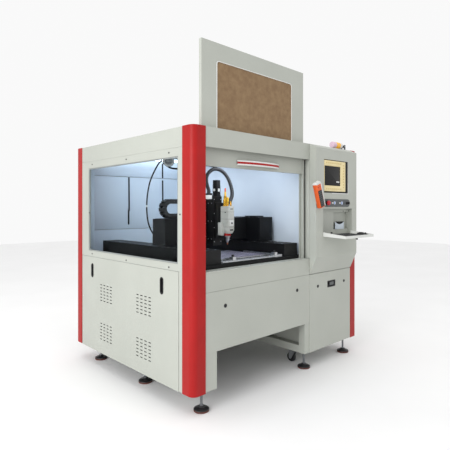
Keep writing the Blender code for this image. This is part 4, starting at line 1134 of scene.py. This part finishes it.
@dataclass
class Cables:
    """Head hose, hanging fibre, its balancer and the lead between the balancer and the head."""

    shop: Workshop
    fibre_top: Vec = (0.258, 0.70, 1.66)
    fibre_foot: Vec = (0.25, 0.70, 1.10)
    hand_over: Vec = (0.465, 0.482, 1.652)
    drum_at: Vec = (0.300, 0.664, 1.686)

    def bent(self, name: str, shell: Shell, finish: Finish, bodies: tuple[str, str], start: Vec, end: Vec,
             replaces: Sequence[str] = ()) -> None:
        """A cable that bends between two bodies.

        Args:
            name: the piece's name.
            shell: its mesh.
            finish: what it is made of.
            bodies: the first is the body it is put on; both are passed on to Workshop.bend.
            start: a point passed on to Workshop.bend.
            end: a point passed on to Workshop.bend.
            replaces: frame parts that it stands for.
        """
        made = self.shop.add(name, shell, finish, bodies[0], "black_rubber", smooth=60, replaces=replaces)
        self.shop.bend(made, bodies, start, end)

    def build(self) -> None:
        """Routes every cable and adds the balancer."""
        path = route([(0.531, 0.453, 1.4385), (0.5305, 0.453, 1.462), (0.508, 0.451, 1.517), (0.503, 0.444, 1.566),
                      (0.520, 0.430, 1.604), (0.561, 0.414, 1.627), (0.625, 0.402, 1.614), (0.680, 0.390, 1.558),
                      (0.702, 0.374, 1.480), (0.690, 0.356, 1.420), (0.6555, 0.341, 1.372), (0.6540, 0.340, 1.3378)],
                     0.0017)
        self.bent("head_hose_conduit", hose(path, ribbed(path, 0.0152, 0.0070, 0.0018), (0, 1, 0), 18), CONDUIT,
                  ("carriage", "head"), (0.60, 0.40, 1.62), (0.655, 0.34, 1.345), ("head_hose",))
        fibre = route([(0.2581, 0.6945, 1.690), (0.255, 0.742, 1.662), (0.250, 0.835, 1.550), (0.247, 0.878, 1.430),
                       (0.247, 0.890, 1.310), (0.248, 0.868, 1.200), (0.250, 0.812, 1.125), (0.250, 0.745, 1.098),
                       (0.250, 0.6912, 1.095)], 0.010)
        self.bent("fibre_lead", hose(fibre, 0.006, (1, 0, 0), 14), RUBBER, ("machine", "gantry"),
                  self.fibre_top, self.fibre_foot, ("fibre_cable",))
        first = route([(0.268, 0.690, 1.672), (0.31, 0.645, 1.632), (0.37, 0.585, 1.628), (0.425, 0.525, 1.645),
                       self.hand_over], 0.008)
        self.bent("crossing_lead_rear", hose(first, 0.0075, (0, 0, 1), 12), RUBBER, ("machine", "gantry"),
                  (0.30, 0.655, 1.64), self.hand_over)
        second = route([self.hand_over, (0.505, 0.452, 1.655), (0.548, 0.436, 1.650), (0.590, 0.424, 1.638)], 0.008)
        self.bent("crossing_lead_front", hose(second, 0.0075, (0, 0, 1), 12), RUBBER, ("gantry", "carriage"),
                  self.hand_over, (0.545, 0.436, 1.650))
        clip = hose(np.array([(0.250, 0.716, 1.096), (0.250, 0.690, 1.095)]), 0.0095, (1, 0, 0), 20)
        self.shop.add("fibre_gland", clip, NYLON, "gantry", "black_plastic")
        clamp = hose(np.array([(0.247, 0.886, 1.345), (0.247, 0.890, 1.330)]), 0.0085, (1, 0, 0), 16)
        drop = route([(0.300, 0.664, 1.76), (0.300, 0.664, 1.735), (0.302, 0.663, 1.722)], 0.004)
        self.shop.add("balancer_hanger", hose(drop, 0.0035, (0, 1, 0), 10), ZINC, "machine", "zinc_steel")
        made = self.shop.add("fibre_tie", clamp, WHITE_PLASTIC, "machine", "light_grey_enamel")
        self.shop.bend(made, ("machine", "gantry"), self.fibre_top, self.fibre_foot)
        profile = [(0.010, -0.0200), (0.012, -0.0190), (0.012, -0.0135), (0.040, -0.0130), (0.0445, -0.0095),
                   (0.0450, 0.0), (0.0445, 0.0095), (0.040, 0.0130), (0.032, 0.0138), (0.030, 0.0125), (0.012, 0.0130),
                   (0.012, 0.0190), (0.010, 0.0200)]
        drum = lathe(profile, Facing.FRONT, self.drum_at, 48).turned("z", -36, self.drum_at)
        self.shop.add("balancer_drum", drum, HEAD_COAT, "machine", "zinc_steel")
        self.shop.dress(ZINC, "cable_balancer")


@dataclass
class WorkTable:
    """Bed with its slotted table, locating rails, clamps and a sheet being worked."""

    shop: Workshop
    top: float = 0.935

    def build(self) -> None:
        """Adds the table's slats, rails, clamps and the sheet, which waves by 1 mm as sin(7 x) cos(9 y)."""
        shop, top = self.shop, self.top
        shop.dress(BLACK_PAINT, "machine_bed", "laser_source", edge=0.0012)
        shop.dress(MILLED, "fixture_rails", edge=0.0006)
        slat_x = np.arange(0.380, 0.980, 0.060)
        ribs = sum((block((x, 0.150, top), (x + 0.018, 1.440, top + 0.004), 0.0012) for x in slat_x),
                   block((0.345, 0.150, top), (0.360, 1.440, top + 0.004), 0.0012))
        shop.add("table_slats", ribs, ANODISED, "machine", "black_anodised")
        lip = (block((0.345, 0.170, top + 0.0045), (0.983, 0.186, 0.957), 0.0015)
               + block((0.345, 0.190, top + 0.0045), (0.983, 0.198, 0.952), 0.0012))
        shop.add("rear_locating_rail", lip, MILLED, "machine", "bright_aluminium")
        knob = lathe([(0.0075, 0.0), (0.0090, 0.002), (0.0090, 0.012), (0.0075, 0.014)], Facing.UP, (0.0, 0.0, 0.0), 18)
        stud = lathe([(0.0035, -0.012), (0.0035, 0.0), (0.0030, 0.001)], Facing.UP, (0.0, 0.0, 0.0), 12)
        feet = [(0.471, 0.124, 0.9745), (0.931, 0.124, 0.9745)]
        shop.add("clamp_knobs", knob.repeated(feet), ABS_BLACK, "machine", "black_anodised")
        jaws = (block((0.458, 0.136, 0.9542), (0.484, 0.196, 0.9605), 0.0015)
                + block((0.918, 0.136, 0.9542), (0.944, 0.196, 0.9605), 0.0015)
                + stud.repeated([(0.471, 0.180, 0.9620), (0.931, 0.180, 0.9620)]))
        shop.add("clamp_jaws", jaws, ZINC, "machine", "zinc_steel")
        bar = hose(np.array([(0.345, 0.1000, 0.9440), (0.520, 0.1000, 0.9440), (0.700, 0.1000, 0.9440),
                             (0.905, 0.1000, 0.9440)]),
                   0.0060, (0, 0, 1), 16)
        shop.add("front_support_bar", bar, MILLED, "machine", "bright_aluminium")
        count, thick = 25, 0.0012
        t = np.linspace(0, 1, count)
        u, v = np.meshgrid(0.470 + 0.500 * t, 0.260 + 0.430 * t, indexing="ij")
        dish = 0.9440 + 0.0010 * np.sin(7 * u) * np.cos(9 * v)
        upper = np.stack([u, v, dish + thick], -1)
        lower = np.stack([u, v, dish], -1)
        i, j = (a.reshape(-1) for a in np.meshgrid(np.arange(count - 1), np.arange(count - 1), indexing="ij"))
        face = np.stack([i * count + j, (i + 1) * count + j, (i + 1) * count + j + 1, i * count + j + 1], -1)
        edge = np.concatenate([np.arange(count) * count, (count - 1) * count + np.arange(1, count),
                               np.arange(count - 2, -1, -1) * count + count - 1, np.arange(count - 2, 0, -1)])
        follow = np.roll(edge, -1)
        total = count * count
        rim = np.stack([edge, edge + total, follow + total, follow], -1)[:, ::-1]
        sheet = Shell(np.vstack([upper.reshape(-1, 3), lower.reshape(-1, 3)]), (face, face[:, ::-1] + total, rim))
        shop.add("worked_sheet", sheet, SHEET_STEEL, "machine", "bright_aluminium")
        stop = (block((0.9845, 0.112, 0.9532), (1.0095, 0.520, 0.9548), 0.0006)
                + block((1.0130, 0.20, 0.9360), (1.0225, 0.29, 0.949), 0.002))
        shop.add("side_rail_scale", stop, MILLED_Y, "machine", "bright_aluminium")


@dataclass
class Console:
    """Operator's side: screen, control plate, remote, keyboard tray and niche."""

    shop: Workshop
    plate_y: float = -0.0653
    plate_z: float = 1.365
    hinge: tuple[float, float] = (-0.056, 1.094)
    tilt_deg: float = 3.0
    lean_deg: float = 19.5

    def on_tray(self, shell: Shell) -> Shell:
        """A mesh drawn about the tray's hinge line, turned to the tray's slope and moved to it."""
        moved = Shell(shell.points + (0.0, *self.hinge), shell.faces)
        return moved.turned("x", self.tilt_deg, (0.0, *self.hinge))

    def monitor(self) -> None:
        """Cream panel with a recessed dark screen and rows of soft keys: rings run from rim to recess."""
        x, z, w, h = 1.513, 1.5925, 0.328, 0.259
        outer = rectangle(w, h, 0.004)
        screen = rectangle(0.240, 0.164, 0.002) + (1.478 - x, 1.5935 - z)
        rows = [(outer, 0.0), (outer, 0.0385), (inset(outer, 0.0012), 0.0405), (inset(outer, 0.003), 0.0412),
                (inset(screen, -0.005), 0.0412), (inset(screen, -0.002), 0.0395), (screen, 0.0350)]
        rings = tiers(rows)
        body = loft(Facing.FRONT.carry(rings, (x, -0.0200, z)))
        self.shop.add("monitor_panel", body, CREAM, "machine", "cream_plastic", replaces=("monitor",))
        glass = plate(inset(screen, 0.0004), 0.0018, 0.0004, Facing.FRONT, (x, -0.0200 - 0.0350, z))
        self.shop.add("monitor_glass", glass, SCREEN, "machine", "cream_plastic")
        # A small white patch on the dark screen: a painted reflection.
        line = plate(rectangle(0.046, 0.010, 0.002), 0.0006, 0.0002, Facing.FRONT, (1.560, -0.0568, 1.545))
        self.shop.add("monitor_painted_reflection", line, WHITE_PLASTIC, "machine", "cream_plastic")
        key = plate(rectangle(0.016, 0.011, 0.003), 0.0016, 0.0006, Facing.FRONT, (0.0, 0.0, 0.0))
        rows_z = np.linspace(1.500, 1.690, 9)
        spots = [(1.644, -0.0608, float(zz)) for zz in rows_z]
        spots += [(float(xx), -0.0608, zz) for zz in (1.484, 1.702) for xx in np.linspace(1.385, 1.600, 8)]
        self.shop.add("monitor_soft_keys", key.repeated(spots), KEY_CREAM, "machine", "cream_plastic")
        # Dark blocks behind the panel and in the cut-out's gap at its right and bottom: painted shade.
        well = block((1.3350, -0.0190, 1.4420), (1.7200, -0.0150, 1.7350), 0.001, Facing.FRONT)
        gap = (block((1.6785, -0.0585, 1.4510), (1.7110, -0.0300, 1.7260), 0.001, Facing.FRONT)
               + block((1.3450, -0.0585, 1.4510), (1.6780, -0.0300, 1.4620), 0.001, Facing.FRONT))
        self.shop.add("monitor_well_shade", well + gap, DARK_GAP, "machine", "charcoal_plastic")
        # A thin trim lip along the opening's lower and right edges, white for the bright band there: partly a real lip,
        # partly a painted highlight.
        edge = block((1.4620, -0.0636, 1.4436), (1.7180, -0.0620, 1.4496), 0.0006, Facing.FRONT)
        side = block((1.7124, -0.0636, 1.4500), (1.7180, -0.0620, 1.5400), 0.0006, Facing.FRONT)
        self.shop.add("screen_opening_highlight_trim", edge + side, WHITE_PLASTIC, "machine", "light_grey_enamel")

    def controls(self) -> None:
        """Mushroom stop, two ring-lit push buttons and a key switch, each in its own trim ring."""
        y, z = self.plate_y, self.plate_z
        shop = self.shop
        shop.dress(CHARCOAL, "control_plate", edge=0.0008)
        base = lathe([(0.0215, 0.0), (0.0215, 0.0012), (0.0195, 0.0026), (0.0100, 0.0028)], Facing.FRONT,
                     (1.382, y, z), 36)
        shop.add("estop_base_ring", base, ABS_BLACK, "machine", "charcoal_plastic")
        head = lathe([(0.0085, -0.010), (0.0085, 0.007), (0.0160, 0.0085), (0.0200, 0.012), (0.0208, 0.017),
                      (0.0195, 0.0225),
                      (0.0155, 0.0268), (0.0090, 0.0290), (0.0030, 0.0298)], Facing.FRONT, (1.382, y, z), 40)
        shop.add("estop_mushroom", head, SIGNAL_RED, "estop", "signal_red_plastic", replaces=("estop_button",))
        for name, x, face in (("start", 1.496, WHITE_PLASTIC), ("stop", 1.609, CHROME)):
            trim = lathe([(0.0150, 0.0), (0.0150, 0.0020), (0.0135, 0.0032), (0.0118, 0.0032), (0.0116, 0.0006)],
                         Facing.FRONT, (x, y, z), 36)
            shop.add(f"{name}_trim_ring", trim, CHROME, "machine", "charcoal_plastic")
            ring = lathe([(0.0110, -0.010), (0.0112, 0.0042), (0.0104, 0.0052), (0.0082, 0.0054), (0.0080, 0.0046)],
                         Facing.FRONT, (x, y, z), 36)
            shop.add(f"{name}_lit_ring", ring, BLUE_LENS, name, "blue_lens", replaces=(f"{name}_button",))
            cap = lathe([(0.0078, 0.0040), (0.0078, 0.0054), (0.0066, 0.0060)], Facing.FRONT, (x, y, z), 30)
            shop.add(f"{name}_cap", cap, face, name, "blue_lens")
            # A small white patch left of the button: a painted highlight.
            tag = plate(rectangle(0.022, 0.010, 0.001), 0.0008, 0.0002, Facing.FRONT, (x - 0.029, y, z))
            shop.add(f"{name}_painted_glint_patch", tag, WHITE_PLASTIC, "machine", "charcoal_plastic")
        barrel = lathe([(0.0130, 0.0003), (0.0130, 0.0040), (0.0118, 0.0090), (0.0100, 0.0100), (0.0070, 0.0100),
                        (0.0068, 0.0080)],
                       Facing.FRONT, (1.691, y, z), 32)
        bow = plate(rectangle(0.0200, 0.0200, 0.0060, 5), 0.0036, 0.0010, Facing.LEFT, (1.6928, y - 0.0195, z),
                    back_edge=0.001)
        blade = block((1.6900, y - 0.0120, z - 0.0035), (1.6920, y - 0.0075, z + 0.0035), 0.0005)
        shop.add("key_lock", barrel + bow + blade, ABS_BLACK, "key", "black_plastic", replaces=("key_switch",))

    def remote(self) -> None:
        """Handheld remote: orange case, white face with two lamps, and a dark keypad; drawn upright, then leant."""
        cx, cz, y = 1.236, 1.428, -0.0688
        lean = dict(axis="y", degrees=-self.lean_deg, about=(cx, y, cz))
        case = plate(rectangle(0.072, 0.212, 0.014, 6), 0.0345, 0.007, Facing.FRONT, (cx, y, cz), back_edge=0.004)
        self.shop.add("remote_case", case.turned(**lean), ORANGE, "remote", "orange_plastic",
                      replaces=("remote_pendant",))
        cap = plate(rectangle(0.0728, 0.024, 0.0115, 5), 0.0360, 0.008, Facing.FRONT, (cx, y + 0.0004, cz + 0.0948),
                    back_edge=0.004)
        edge = plate(rectangle(0.010, 0.196, 0.0045, 4), 0.0355, 0.0035, Facing.FRONT,
                     (cx + 0.0314, y - 0.0006, cz - 0.004), back_edge=0.002)
        self.shop.add("remote_white_cap", (cap + edge).turned(**lean), WHITE_PLASTIC, "remote", "orange_plastic")
        pad = plate(rectangle(0.052, 0.136, 0.006, 4), 0.0022, 0.0008, Facing.FRONT,
                    (cx - 0.0020, y - 0.0340, cz - 0.030))
        self.shop.add("remote_keypad", pad.turned(**lean), ABS_BLACK, "remote", "black_plastic")
        key = plate(rectangle(0.0100, 0.0085, 0.002, 3), 0.0018, 0.0006, Facing.FRONT, (0.0, 0.0, 0.0))
        spots = [(cx - 0.0020 + dx, y - 0.0360, cz - 0.030 + float(dz)) for dx in (-0.0155, 0.0, 0.0155)
                 for dz in np.linspace(-0.055, 0.055, 8)]
        self.shop.add("remote_keys", key.repeated(spots).turned(**lean), CHARCOAL, "remote", "black_plastic")
        dots = lathe([(0.0052, 0.0), (0.0052, 0.0012), (0.0036, 0.0020)], Facing.FRONT, (0.0, 0.0, 0.0), 16)
        lamps = dots.repeated([(cx - 0.014, y - 0.0340, cz + 0.066), (cx + 0.012, y - 0.0340, cz + 0.066)])
        self.shop.add("remote_lamps", lamps.turned(**lean), SIGNAL_RED, "remote", "signal_red_plastic")
        dial = lathe([(0.0080, 0.0), (0.0080, 0.0060), (0.0066, 0.0075)], Facing.UP,
                     (cx + 0.016, y - 0.018, cz + 0.1060), 20)
        self.shop.add("remote_dial", dial.turned(**lean), WHITE_PLASTIC, "remote", "orange_plastic")

    def tray_goods(self) -> None:
        """Keyboard with its caps, and the mouse.

        The mouse's half width at t is 28.5 mm (1 - |t|^2.8)^(1/2.8), drawn in a little at the waist; its height is
        29.5 mm (1 - |t|^2.4)^(1/2.4), highest under the palm; its section is a half superellipse.
        """
        top = -0.0027
        base = plate(rectangle(0.345, 0.140, 0.008, 5), 0.0100, 0.003, Facing.UP, (1.5175, -0.100, top),
                     back_edge=0.001)
        self.shop.add("keyboard_case", self.on_tray(base), ABS_BLACK, "tray", "black_plastic", replaces=("keyboard",))
        rows = [(rectangle(0.0165, 0.0165, 0.0015, 2), 0.0), (rectangle(0.0160, 0.0160, 0.0018, 2), 0.0030),
                (rectangle(0.0130, 0.0135, 0.0022, 2), 0.0068), (rectangle(0.0115, 0.0120, 0.0022, 2), 0.0072)]
        cap = loft(tiers(rows))
        spots = [(1.3600 + 0.0185 * i + 0.004 * (i > 12), -0.155 + 0.0205 * j + 0.004 * (j > 4), top + 0.0096)
                 for i in range(17) for j in range(6) if not (j == 0 and 3 < i < 9)]
        self.shop.add("keyboard_caps", self.on_tray(cap.repeated(spots)), KEYCAP, "tray", "black_plastic")
        bar = plate(rectangle(0.088, 0.0145, 0.003, 3), 0.0070, 0.0015, Facing.UP, (1.4710, -0.155, top + 0.0096))
        self.shop.add("keyboard_space_bar", self.on_tray(bar), KEYCAP, "tray", "black_plastic")
        rows_along, rows_across = 33, 21
        t = np.linspace(-0.985, 0.985, rows_along)
        a = np.linspace(0, np.pi, rows_across)
        width = 0.0285 * (1 - np.abs(t) ** 2.8) ** (1 / 2.8) * (1 - 0.06 * np.exp(-(((t + 0.15) / 0.35) ** 2)))
        height = 0.0295 * (1 - np.abs(t) ** 2.4) ** (1 / 2.4) * (0.84 + 0.16 * np.cos(1.6 * (t - 0.25)))
        section = np.stack([np.sign(np.cos(a)) * np.abs(np.cos(a)) ** 0.75, np.sin(a) ** 0.80], -1)
        rings = np.stack([1.743 + width[:, None] * section[None, :, 0],
                          np.broadcast_to((-0.1275 + 0.0522 * t)[:, None], (rows_along, rows_across)),
                          top + height[:, None] * section[None, :, 1]], -1)
        self.shop.add("mouse_shell", self.on_tray(loft(rings[:, ::-1])), ABS_BLACK, "mouse", "black_plastic",
                      replaces=("mouse",))
        wheel = lathe([(0.0060, -0.0028), (0.0072, -0.0020), (0.0072, 0.0020), (0.0060, 0.0028)], Facing.RIGHT,
                      (1.743, -0.158, 0.0195), 20)
        self.shop.add("mouse_wheel", self.on_tray(wheel), RUBBER, "mouse", "black_plastic")

    def niche(self) -> None:
        """Pocket's scooped front: its rim is a parabola, dark above and pale below; and the tray's peg and knob."""
        t = np.linspace(-1, 1, 33)
        rim = np.stack([0.068 * t, 0.022 * t**2 - 0.008], -1)
        moon = np.vstack([rim, [(0.068, 0.0160), (-0.068, 0.0160)]])
        self.shop.add("mouse_pocket_shadow", plate(moon, 0.0008, 0.0002, Facing.FRONT, (1.640, -0.0236, 1.1880)),
                      DARK_GAP, "machine", "charcoal_plastic")
        front = np.vstack([rim[::-1] + (0.0, 0.0005), [(-0.068, -0.050), (0.068, -0.050)]])
        self.shop.add("mouse_pocket_lip", plate(front, 0.0040, 0.0010, Facing.FRONT, (1.640, -0.0218, 1.1880)), LINING,
                      "machine", "light_grey_enamel")
        peg = lathe([(0.0050, -0.0030), (0.0050, 0.0100), (0.0075, 0.0110), (0.0075, 0.0255), (0.0060, 0.0275)],
                    Facing.UP, (1.4386, -0.0150, 0.0), 20)
        self.shop.add("tray_catch_peg", self.on_tray(peg), ABS_BLACK, "tray", "charcoal_plastic")
        ledge = block((1.3305, -0.0633, 1.0605), (1.7835, -0.0600, 1.0868), 0.0008, Facing.FRONT)
        self.shop.add("tray_hinge_ledge", ledge, GREY_COAT, "machine", "light_grey_enamel")
        hole = lathe([(0.0055, 0.0), (0.0055, 0.0008), (0.0048, 0.0012)], Facing.FRONT, (1.703, -0.0222, 1.2945), 16)
        self.shop.add("niche_stop_screw", hole, ABS_BLACK, "machine", "charcoal_plastic")
        knob = lathe([(0.0045, 0.0), (0.0045, 0.004), (0.0095, 0.006), (0.0100, 0.012), (0.0080, 0.016)], Facing.DOWN,
                     (1.550, -0.187, -0.0062), 24)
        self.shop.add("tray_knob_cap", self.on_tray(knob), ABS_BLACK, "tray", "charcoal_plastic")

    def build(self) -> None:
        """Dresses the folded shell and tray, then adds everything on them."""
        self.shop.dress(GREY_COAT, "console_shell")
        self.shop.dress(TRAY_COAT, "keyboard_tray")
        self.monitor()
        self.controls()
        self.remote()
        self.tray_goods()
        self.niche()


@dataclass
class LowerCabinet:
    """Tilt-out door's hand cup and its two locks."""

    shop: Workshop

    def build(self) -> None:
        """Dresses the door and adds its cup and lock faces."""
        shop = self.shop
        shop.dress(GREY_COAT, "cabinet_door")
        lip = rectangle(0.122, 0.057, 0.006)
        mouth = rectangle(0.108, 0.043, 0.004)
        floor = rectangle(0.102, 0.037, 0.003)
        recess = cup(lip, mouth, floor, 0.001, 0.013, Facing.FRONT, (1.551, 0.002, 0.6685))
        shop.add("cabinet_hand_cup", recess, ABS_BLACK, "cabinet_door", "charcoal_plastic")
        grip = block((1.522, -0.0005, 0.655), (1.586, 0.004, 0.684), 0.003, Facing.FRONT)
        shop.add("cabinet_hand_grip", grip, CHARCOAL, "cabinet_door", "charcoal_plastic")
        for side, x in (("left", 1.349), ("right", 1.753)):
            shop.dress(ABS_BLACK, f"cabinet_lock_{side}")
            bezel = lathe([(0.0128, 0.0003), (0.0128, 0.0015), (0.0110, 0.0028), (0.0082, 0.0028), (0.0080, 0.0018)],
                          Facing.FRONT, (x, 0.002, 0.669), 28)
            key = lathe([(0.0050, 0.0020), (0.0050, 0.0034), (0.0042, 0.0038)], Facing.FRONT, (x, 0.002, 0.669), 3)
            shop.add(f"cabinet_lock_face_{side}", bezel + key, ABS_BLACK, f"cabinet_lock_{side}", "black_plastic")


@dataclass
class Supports:
    """Levelling feet and swivel casters."""

    shop: Workshop
    feet: tuple[tuple[float, float], ...] = ((0.130, 0.070), (0.125, 0.720), (0.125, 1.420), (1.245, 0.070),
                                             (1.828, 0.060), (1.828, 1.560))
    casters: tuple[tuple[float, float], ...] = ((0.330, 0.350), (0.330, 1.300), (1.289, 0.205), (1.700, 1.400))

    def foot(self, number: int, x: float, y: float) -> None:
        """Disc, ball joint, threaded stem with a lock nut, and the rubber ring below.

        Args:
            number: which foot, from one.
            x: across the machine.
            y: from front to back.
        """
        pitch, low, high = 0.0018, 0.040, 0.1395
        turns = range(int((high - low) / (pitch / 2)))
        thread = [(0.0082 if k % 2 else 0.0070, low + k * pitch / 2) for k in turns]
        stem = lathe([(0.0150, 0.037), (0.0150, 0.0395), *thread], Facing.UP, (x, y, 0.0), 20)
        nut = lathe([(0.0120, 0.118), (0.0135, 0.1195), (0.0135, 0.1295), (0.0120, 0.131)], Facing.UP, (x, y, 0.0), 6)
        self.shop.add(f"foot_{number}_stem", stem + nut, ZINC, "machine", "foot_steel",
                      replaces=(f"levelling_foot_{number}",))
        disc = lathe([(0.0500, 0.0105), (0.0515, 0.0125), (0.0500, 0.0170), (0.0440, 0.0205), (0.0260, 0.0250),
                      (0.0205, 0.0290), (0.0180, 0.0350), (0.0150, 0.0378)], Facing.UP, (x, y, 0.0), 44)
        self.shop.add(f"foot_{number}_disc", disc, ABS_BLACK, "machine", "foot_steel")
        ring = lathe([(0.0490, 0.0), (0.0510, 0.0015), (0.0512, 0.0085), (0.0500, 0.0105)], Facing.UP, (x, y, 0.0), 44)
        self.shop.add(f"foot_{number}_rubber", ring, FOOT_RUBBER, "machine", "foot_steel")

    def wheel(self, number: int, x: float, y: float) -> None:
        """Wheel with a crowned tread, sunk hub faces and an axle cap, trailing behind its swivel.

        Args:
            number: which caster, from one.
            x: the swivel's place across the machine.
            y: the swivel's place from front to back.
        """
        axle = (x, y + 0.026, 0.0405)
        tread = lathe([(0.0130, -0.0105), (0.0280, -0.0105), (0.0300, -0.0135), (0.0370, -0.0135), (0.0393, -0.0100),
                       (0.0400, -0.0050), (0.0400, 0.0050), (0.0393, 0.0100), (0.0370, 0.0135), (0.0300, 0.0135),
                       (0.0280, 0.0105), (0.0130, 0.0105)], Facing.RIGHT, axle, 48)
        self.shop.add(f"caster_{number}_tread", tread, NYLON, f"caster_wheel_{number}", "black_plastic",
                      replaces=(f"caster_wheel_{number}",))
        hub = lathe([(0.0090, -0.0128), (0.0115, -0.0120), (0.0115, 0.0120), (0.0090, 0.0128)], Facing.RIGHT, axle, 28)
        self.shop.add(f"caster_{number}_hub", hub, ZINC, f"caster_wheel_{number}", "zinc_steel")
        cap = lathe([(0.0085, 0.0218), (0.0085, 0.0245), (0.0060, 0.0270)], Facing.RIGHT, axle, 6)
        self.shop.add(f"caster_{number}_nut", cap, ZINC, f"caster_fork_{number}", "zinc_steel")
        self.shop.dress(ZINC, f"caster_fork_{number}", edge=0.0006)

    def build(self) -> None:
        """Makes all feet and casters."""
        for number, (x, y) in enumerate(self.feet, start=1):
            self.foot(number, x, y)
        for number, (x, y) in enumerate(self.casters, start=1):
            self.wheel(number, x, y)


@dataclass
class SignalLamp:
    """Folded stack lamp: lilac and amber lens rings, white cap and dark hinge."""

    shop: Workshop
    y: float = 0.056
    z: float = 1.888

    def build(self) -> None:
        """Turns the lamp's sections about its lying axis."""
        at = (0.0, self.y, self.z)
        shop = self.shop
        lilac = lathe([(0.016, 1.6410), (0.0245, 1.6425), (0.0275, 1.6470), (0.0275, 1.6880), (0.0268, 1.6895)],
                      Facing.RIGHT, at, 44)
        shop.add("lamp_lilac_section", lilac, LILAC_LENS, "lamp", "pink_lens", replaces=("signal_lamp",))
        amber = lathe([(0.0268, 1.6900), (0.0280, 1.6915), (0.0280, 1.7500), (0.0268, 1.7515)], Facing.RIGHT, at, 44)
        shop.add("lamp_amber_section", amber, AMBER_LENS, "lamp", "pink_lens")
        base = lathe([(0.0268, 1.7520), (0.0278, 1.7535), (0.0278, 1.7790), (0.0240, 1.7880), (0.0110, 1.7920)],
                     Facing.RIGHT, at, 44)
        shop.add("lamp_white_base", base, WHITE_PLASTIC, "lamp", "pink_lens")
        neck = block((1.7890, self.y - 0.0100, self.z - 0.0120), (1.8380, self.y + 0.0100, self.z + 0.0080), 0.003)
        shop.add("lamp_neck", neck, CHARCOAL, "lamp", "charcoal_metal")
        pin = lathe([(0.0045, -0.0190), (0.0050, -0.0180), (0.0050, 0.0180), (0.0045, 0.0190)], Facing.FRONT,
                    (1.830, self.y, self.z), 18)
        shop.add("lamp_hinge_pin", pin, ZINC, "machine", "zinc_steel")
        shop.dress(CHARCOAL, "lamp_bracket", edge=0.0006)


def main() -> None:
    """Loads the frame, builds the studio and every sub-assembly in order, and logs the number of pieces."""
    logging.basicConfig(level=logging.INFO, format="%(message)s")
    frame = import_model()
    corner = np.array(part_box("corner_column_front_left")[0], float)
    shift = np.array([corner[0], corner[1], 0.0])
    Studio(shift).build()
    shop = Workshop(shift, frame["nodes"])
    for assembly in (Enclosure(shop), LiftingDoor(shop), Gantry(shop), CuttingHead(shop), Cables(shop), WorkTable(shop),
                     Console(shop), LowerCabinet(shop), Supports(shop), SignalLamp(shop)):
        assembly.build()
        LOG.info("built %s", type(assembly).__name__)
    LOG.info("%d pieces", len(shop.made))


if __name__ == "__main__":
    main()
